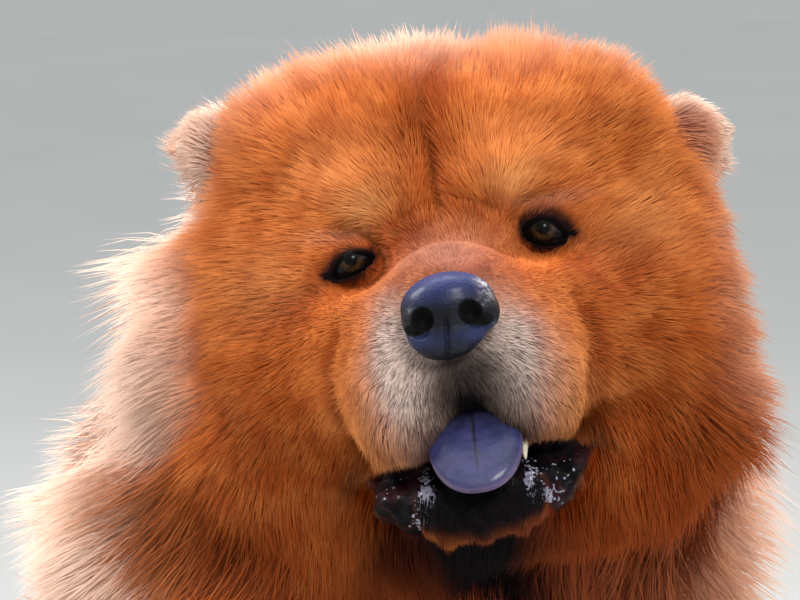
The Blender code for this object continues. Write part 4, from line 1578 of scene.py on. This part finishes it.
def coat_piece(name, curves, halves, facing, shade, chosen, stations):
    """One mesh of many hairs, each with its patch of the unwrap, its shade and its tints."""
    count, steps = curves.shape[:2]
    per_hair = 2 * steps - 1
    left, right = curves[:, :-1] - halves[:, :-1], curves[:, :-1] + halves[:, :-1]
    sides = np.stack((left, right), axis=2).reshape(count, -1, 3)
    points = np.concatenate((sides, curves[:, -1:]), axis=1).reshape(-1, 3)

    quads = [(2 * s, 2 * s + 1, 2 * s + 3, 2 * s + 2) for s in range(steps - 2)]
    tip = (2 * steps - 4, 2 * steps - 3, 2 * steps - 2)
    pattern = np.array([corner for quad in quads for corner in quad] + list(tip))
    loops = (np.arange(count)[:, None] * per_hair + pattern).ravel()
    totals = np.tile([4] * len(quads) + [3], count)
    starts = np.concatenate(([0], np.cumsum(totals)[:-1]))

    mesh = bpy.data.meshes.new(name)
    mesh.vertices.add(len(points))
    mesh.vertices.foreach_set("co", points.astype(np.float32).ravel())
    mesh.loops.add(len(loops))
    mesh.loops.foreach_set("vertex_index", loops.astype(np.int32))
    mesh.polygons.add(len(totals))
    mesh.polygons.foreach_set("loop_start", starts.astype(np.int32))
    mesh.polygons.foreach_set("loop_total", totals.astype(np.int32))

    share = np.array([s for s in stations[:-1] for _ in (0, 1)] + [1.0])
    side = np.array([-1, 1] * (steps - 1) + [0])
    patch = np.stack((side, share * 2 - 1), axis=1) * PATCH / 2
    on_map = root["unwrap"][chosen][:, None, :] + patch
    uv = np.clip(on_map.reshape(-1, 2), 0, 1)[loops]
    mesh.uv_layers.new(name="OFBake").data.foreach_set("uv", uv.astype(np.float32).ravel())
    mesh.update(calc_edges=True)

    obj = bpy.data.objects.new(name, mesh)
    bpy.context.scene.collection.objects.link(obj)
    keep_on_points(obj, "along", np.tile(share, count))
    keep_on_points(obj, "shade", np.repeat(shade, per_hair))
    for index, tint in enumerate(TINTS[:-1]):
        keep_on_points(obj, tint, np.repeat(root["tints"][chosen][:, index], per_hair))

    own = np.concatenate((np.repeat(facing[:, :-1], 2, axis=1), facing[:, -1:]), axis=1)
    soft = own * (1 - SOFTNESS) + root["normal"][chosen][:, None, :] * SOFTNESS
    mesh.polygons.foreach_set("use_smooth", np.ones(len(totals), bool))
    mesh.normals_split_custom_set_from_vertices(unit(soft.reshape(-1, 3)).tolist())
    mesh.materials.append(hair.material)
    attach(obj, "root")
    return obj


print("most triangles in a piece:", MOST_TRIANGLES)

# %% Grow the whole coat
LONG_HAIR = 22  # millimetres, from which a hair gets one more station
FEWEST = 50  # a zone with fewer hairs of a length does without them
BIG_LOCK, SMALL_LOCK = 90, 10  # hairs in a lock
# Stations, pull of the locks, and how much of a hair's shade comes from its big lock.
LENGTH_KINDS = {
    "short": ((0.0, 0.55, 1.0), 0.1, 0.42),
    "long": ((0.0, 0.33, 0.7, 1.0), 0.26, 0.55),
}
RUFF_PULL = 0.15  # of the head's long hair
ZONES = {
    "coat_face": HEAD_PARTS,
    "coat_neck": ("neck",),
    "coat_trunk": ("trunk",),
    "coat_tail": ("tail",),
    "coat_ears": EARS,
    "coat_legs": tuple(part for part in PARTS if "leg" in part or "thigh" in part),
    "coat_feet": FEET,
}


def grow_zone(zone, in_zone, kind):
    """Grows the short or the long hairs of a zone and returns the number of triangles."""
    stations, pull, locks = LENGTH_KINDS[kind]
    is_long = root["length"] > LONG_HAIR
    chosen = np.flatnonzero(in_zone & (is_long == (kind == "long")))
    if len(chosen) < FEWEST:
        return 0
    if zone == "coat_face" and kind == "long":
        pull = RUFF_PULL
    curves = hair_curves(chosen, stations)
    curves, lock_shade = gathered(curves, chosen, stations, BIG_LOCK, pull * 0.7)
    curves, small_shade = gathered(curves, chosen, stations, SMALL_LOCK, pull)
    locks = locks * (1 - 0.7 * root["tints"][chosen][:, TINTS.index("silver")])
    shade = locks * lock_shade + 0.25 * small_shade + (0.75 - locks) * rng.random(len(chosen))
    halves, facing = blades(curves, chosen, stations)
    triangles_in_zone = len(chosen) * (2 * len(stations) - 3)
    pieces = math.ceil(triangles_in_zone / MOST_TRIANGLES)
    for number, rows in enumerate(np.array_split(np.arange(len(chosen)), pieces)):
        own = [values[rows] for values in (curves, halves, facing, shade, chosen)]
        coat_piece(f"{zone}_{kind}_{number + 1}", *own, stations)
    print(f"{zone} {kind}: {len(chosen)} hairs in {pieces} pieces")
    return triangles_in_zone


coat_triangles = 0
for zone, parts in ZONES.items():
    in_zone = np.isin(root["part"], [PARTS.index(part) for part in parts])
    for kind in LENGTH_KINDS:
        coat_triangles += grow_zone(zone, in_zone, kind)
print("triangles in the coat:", coat_triangles)
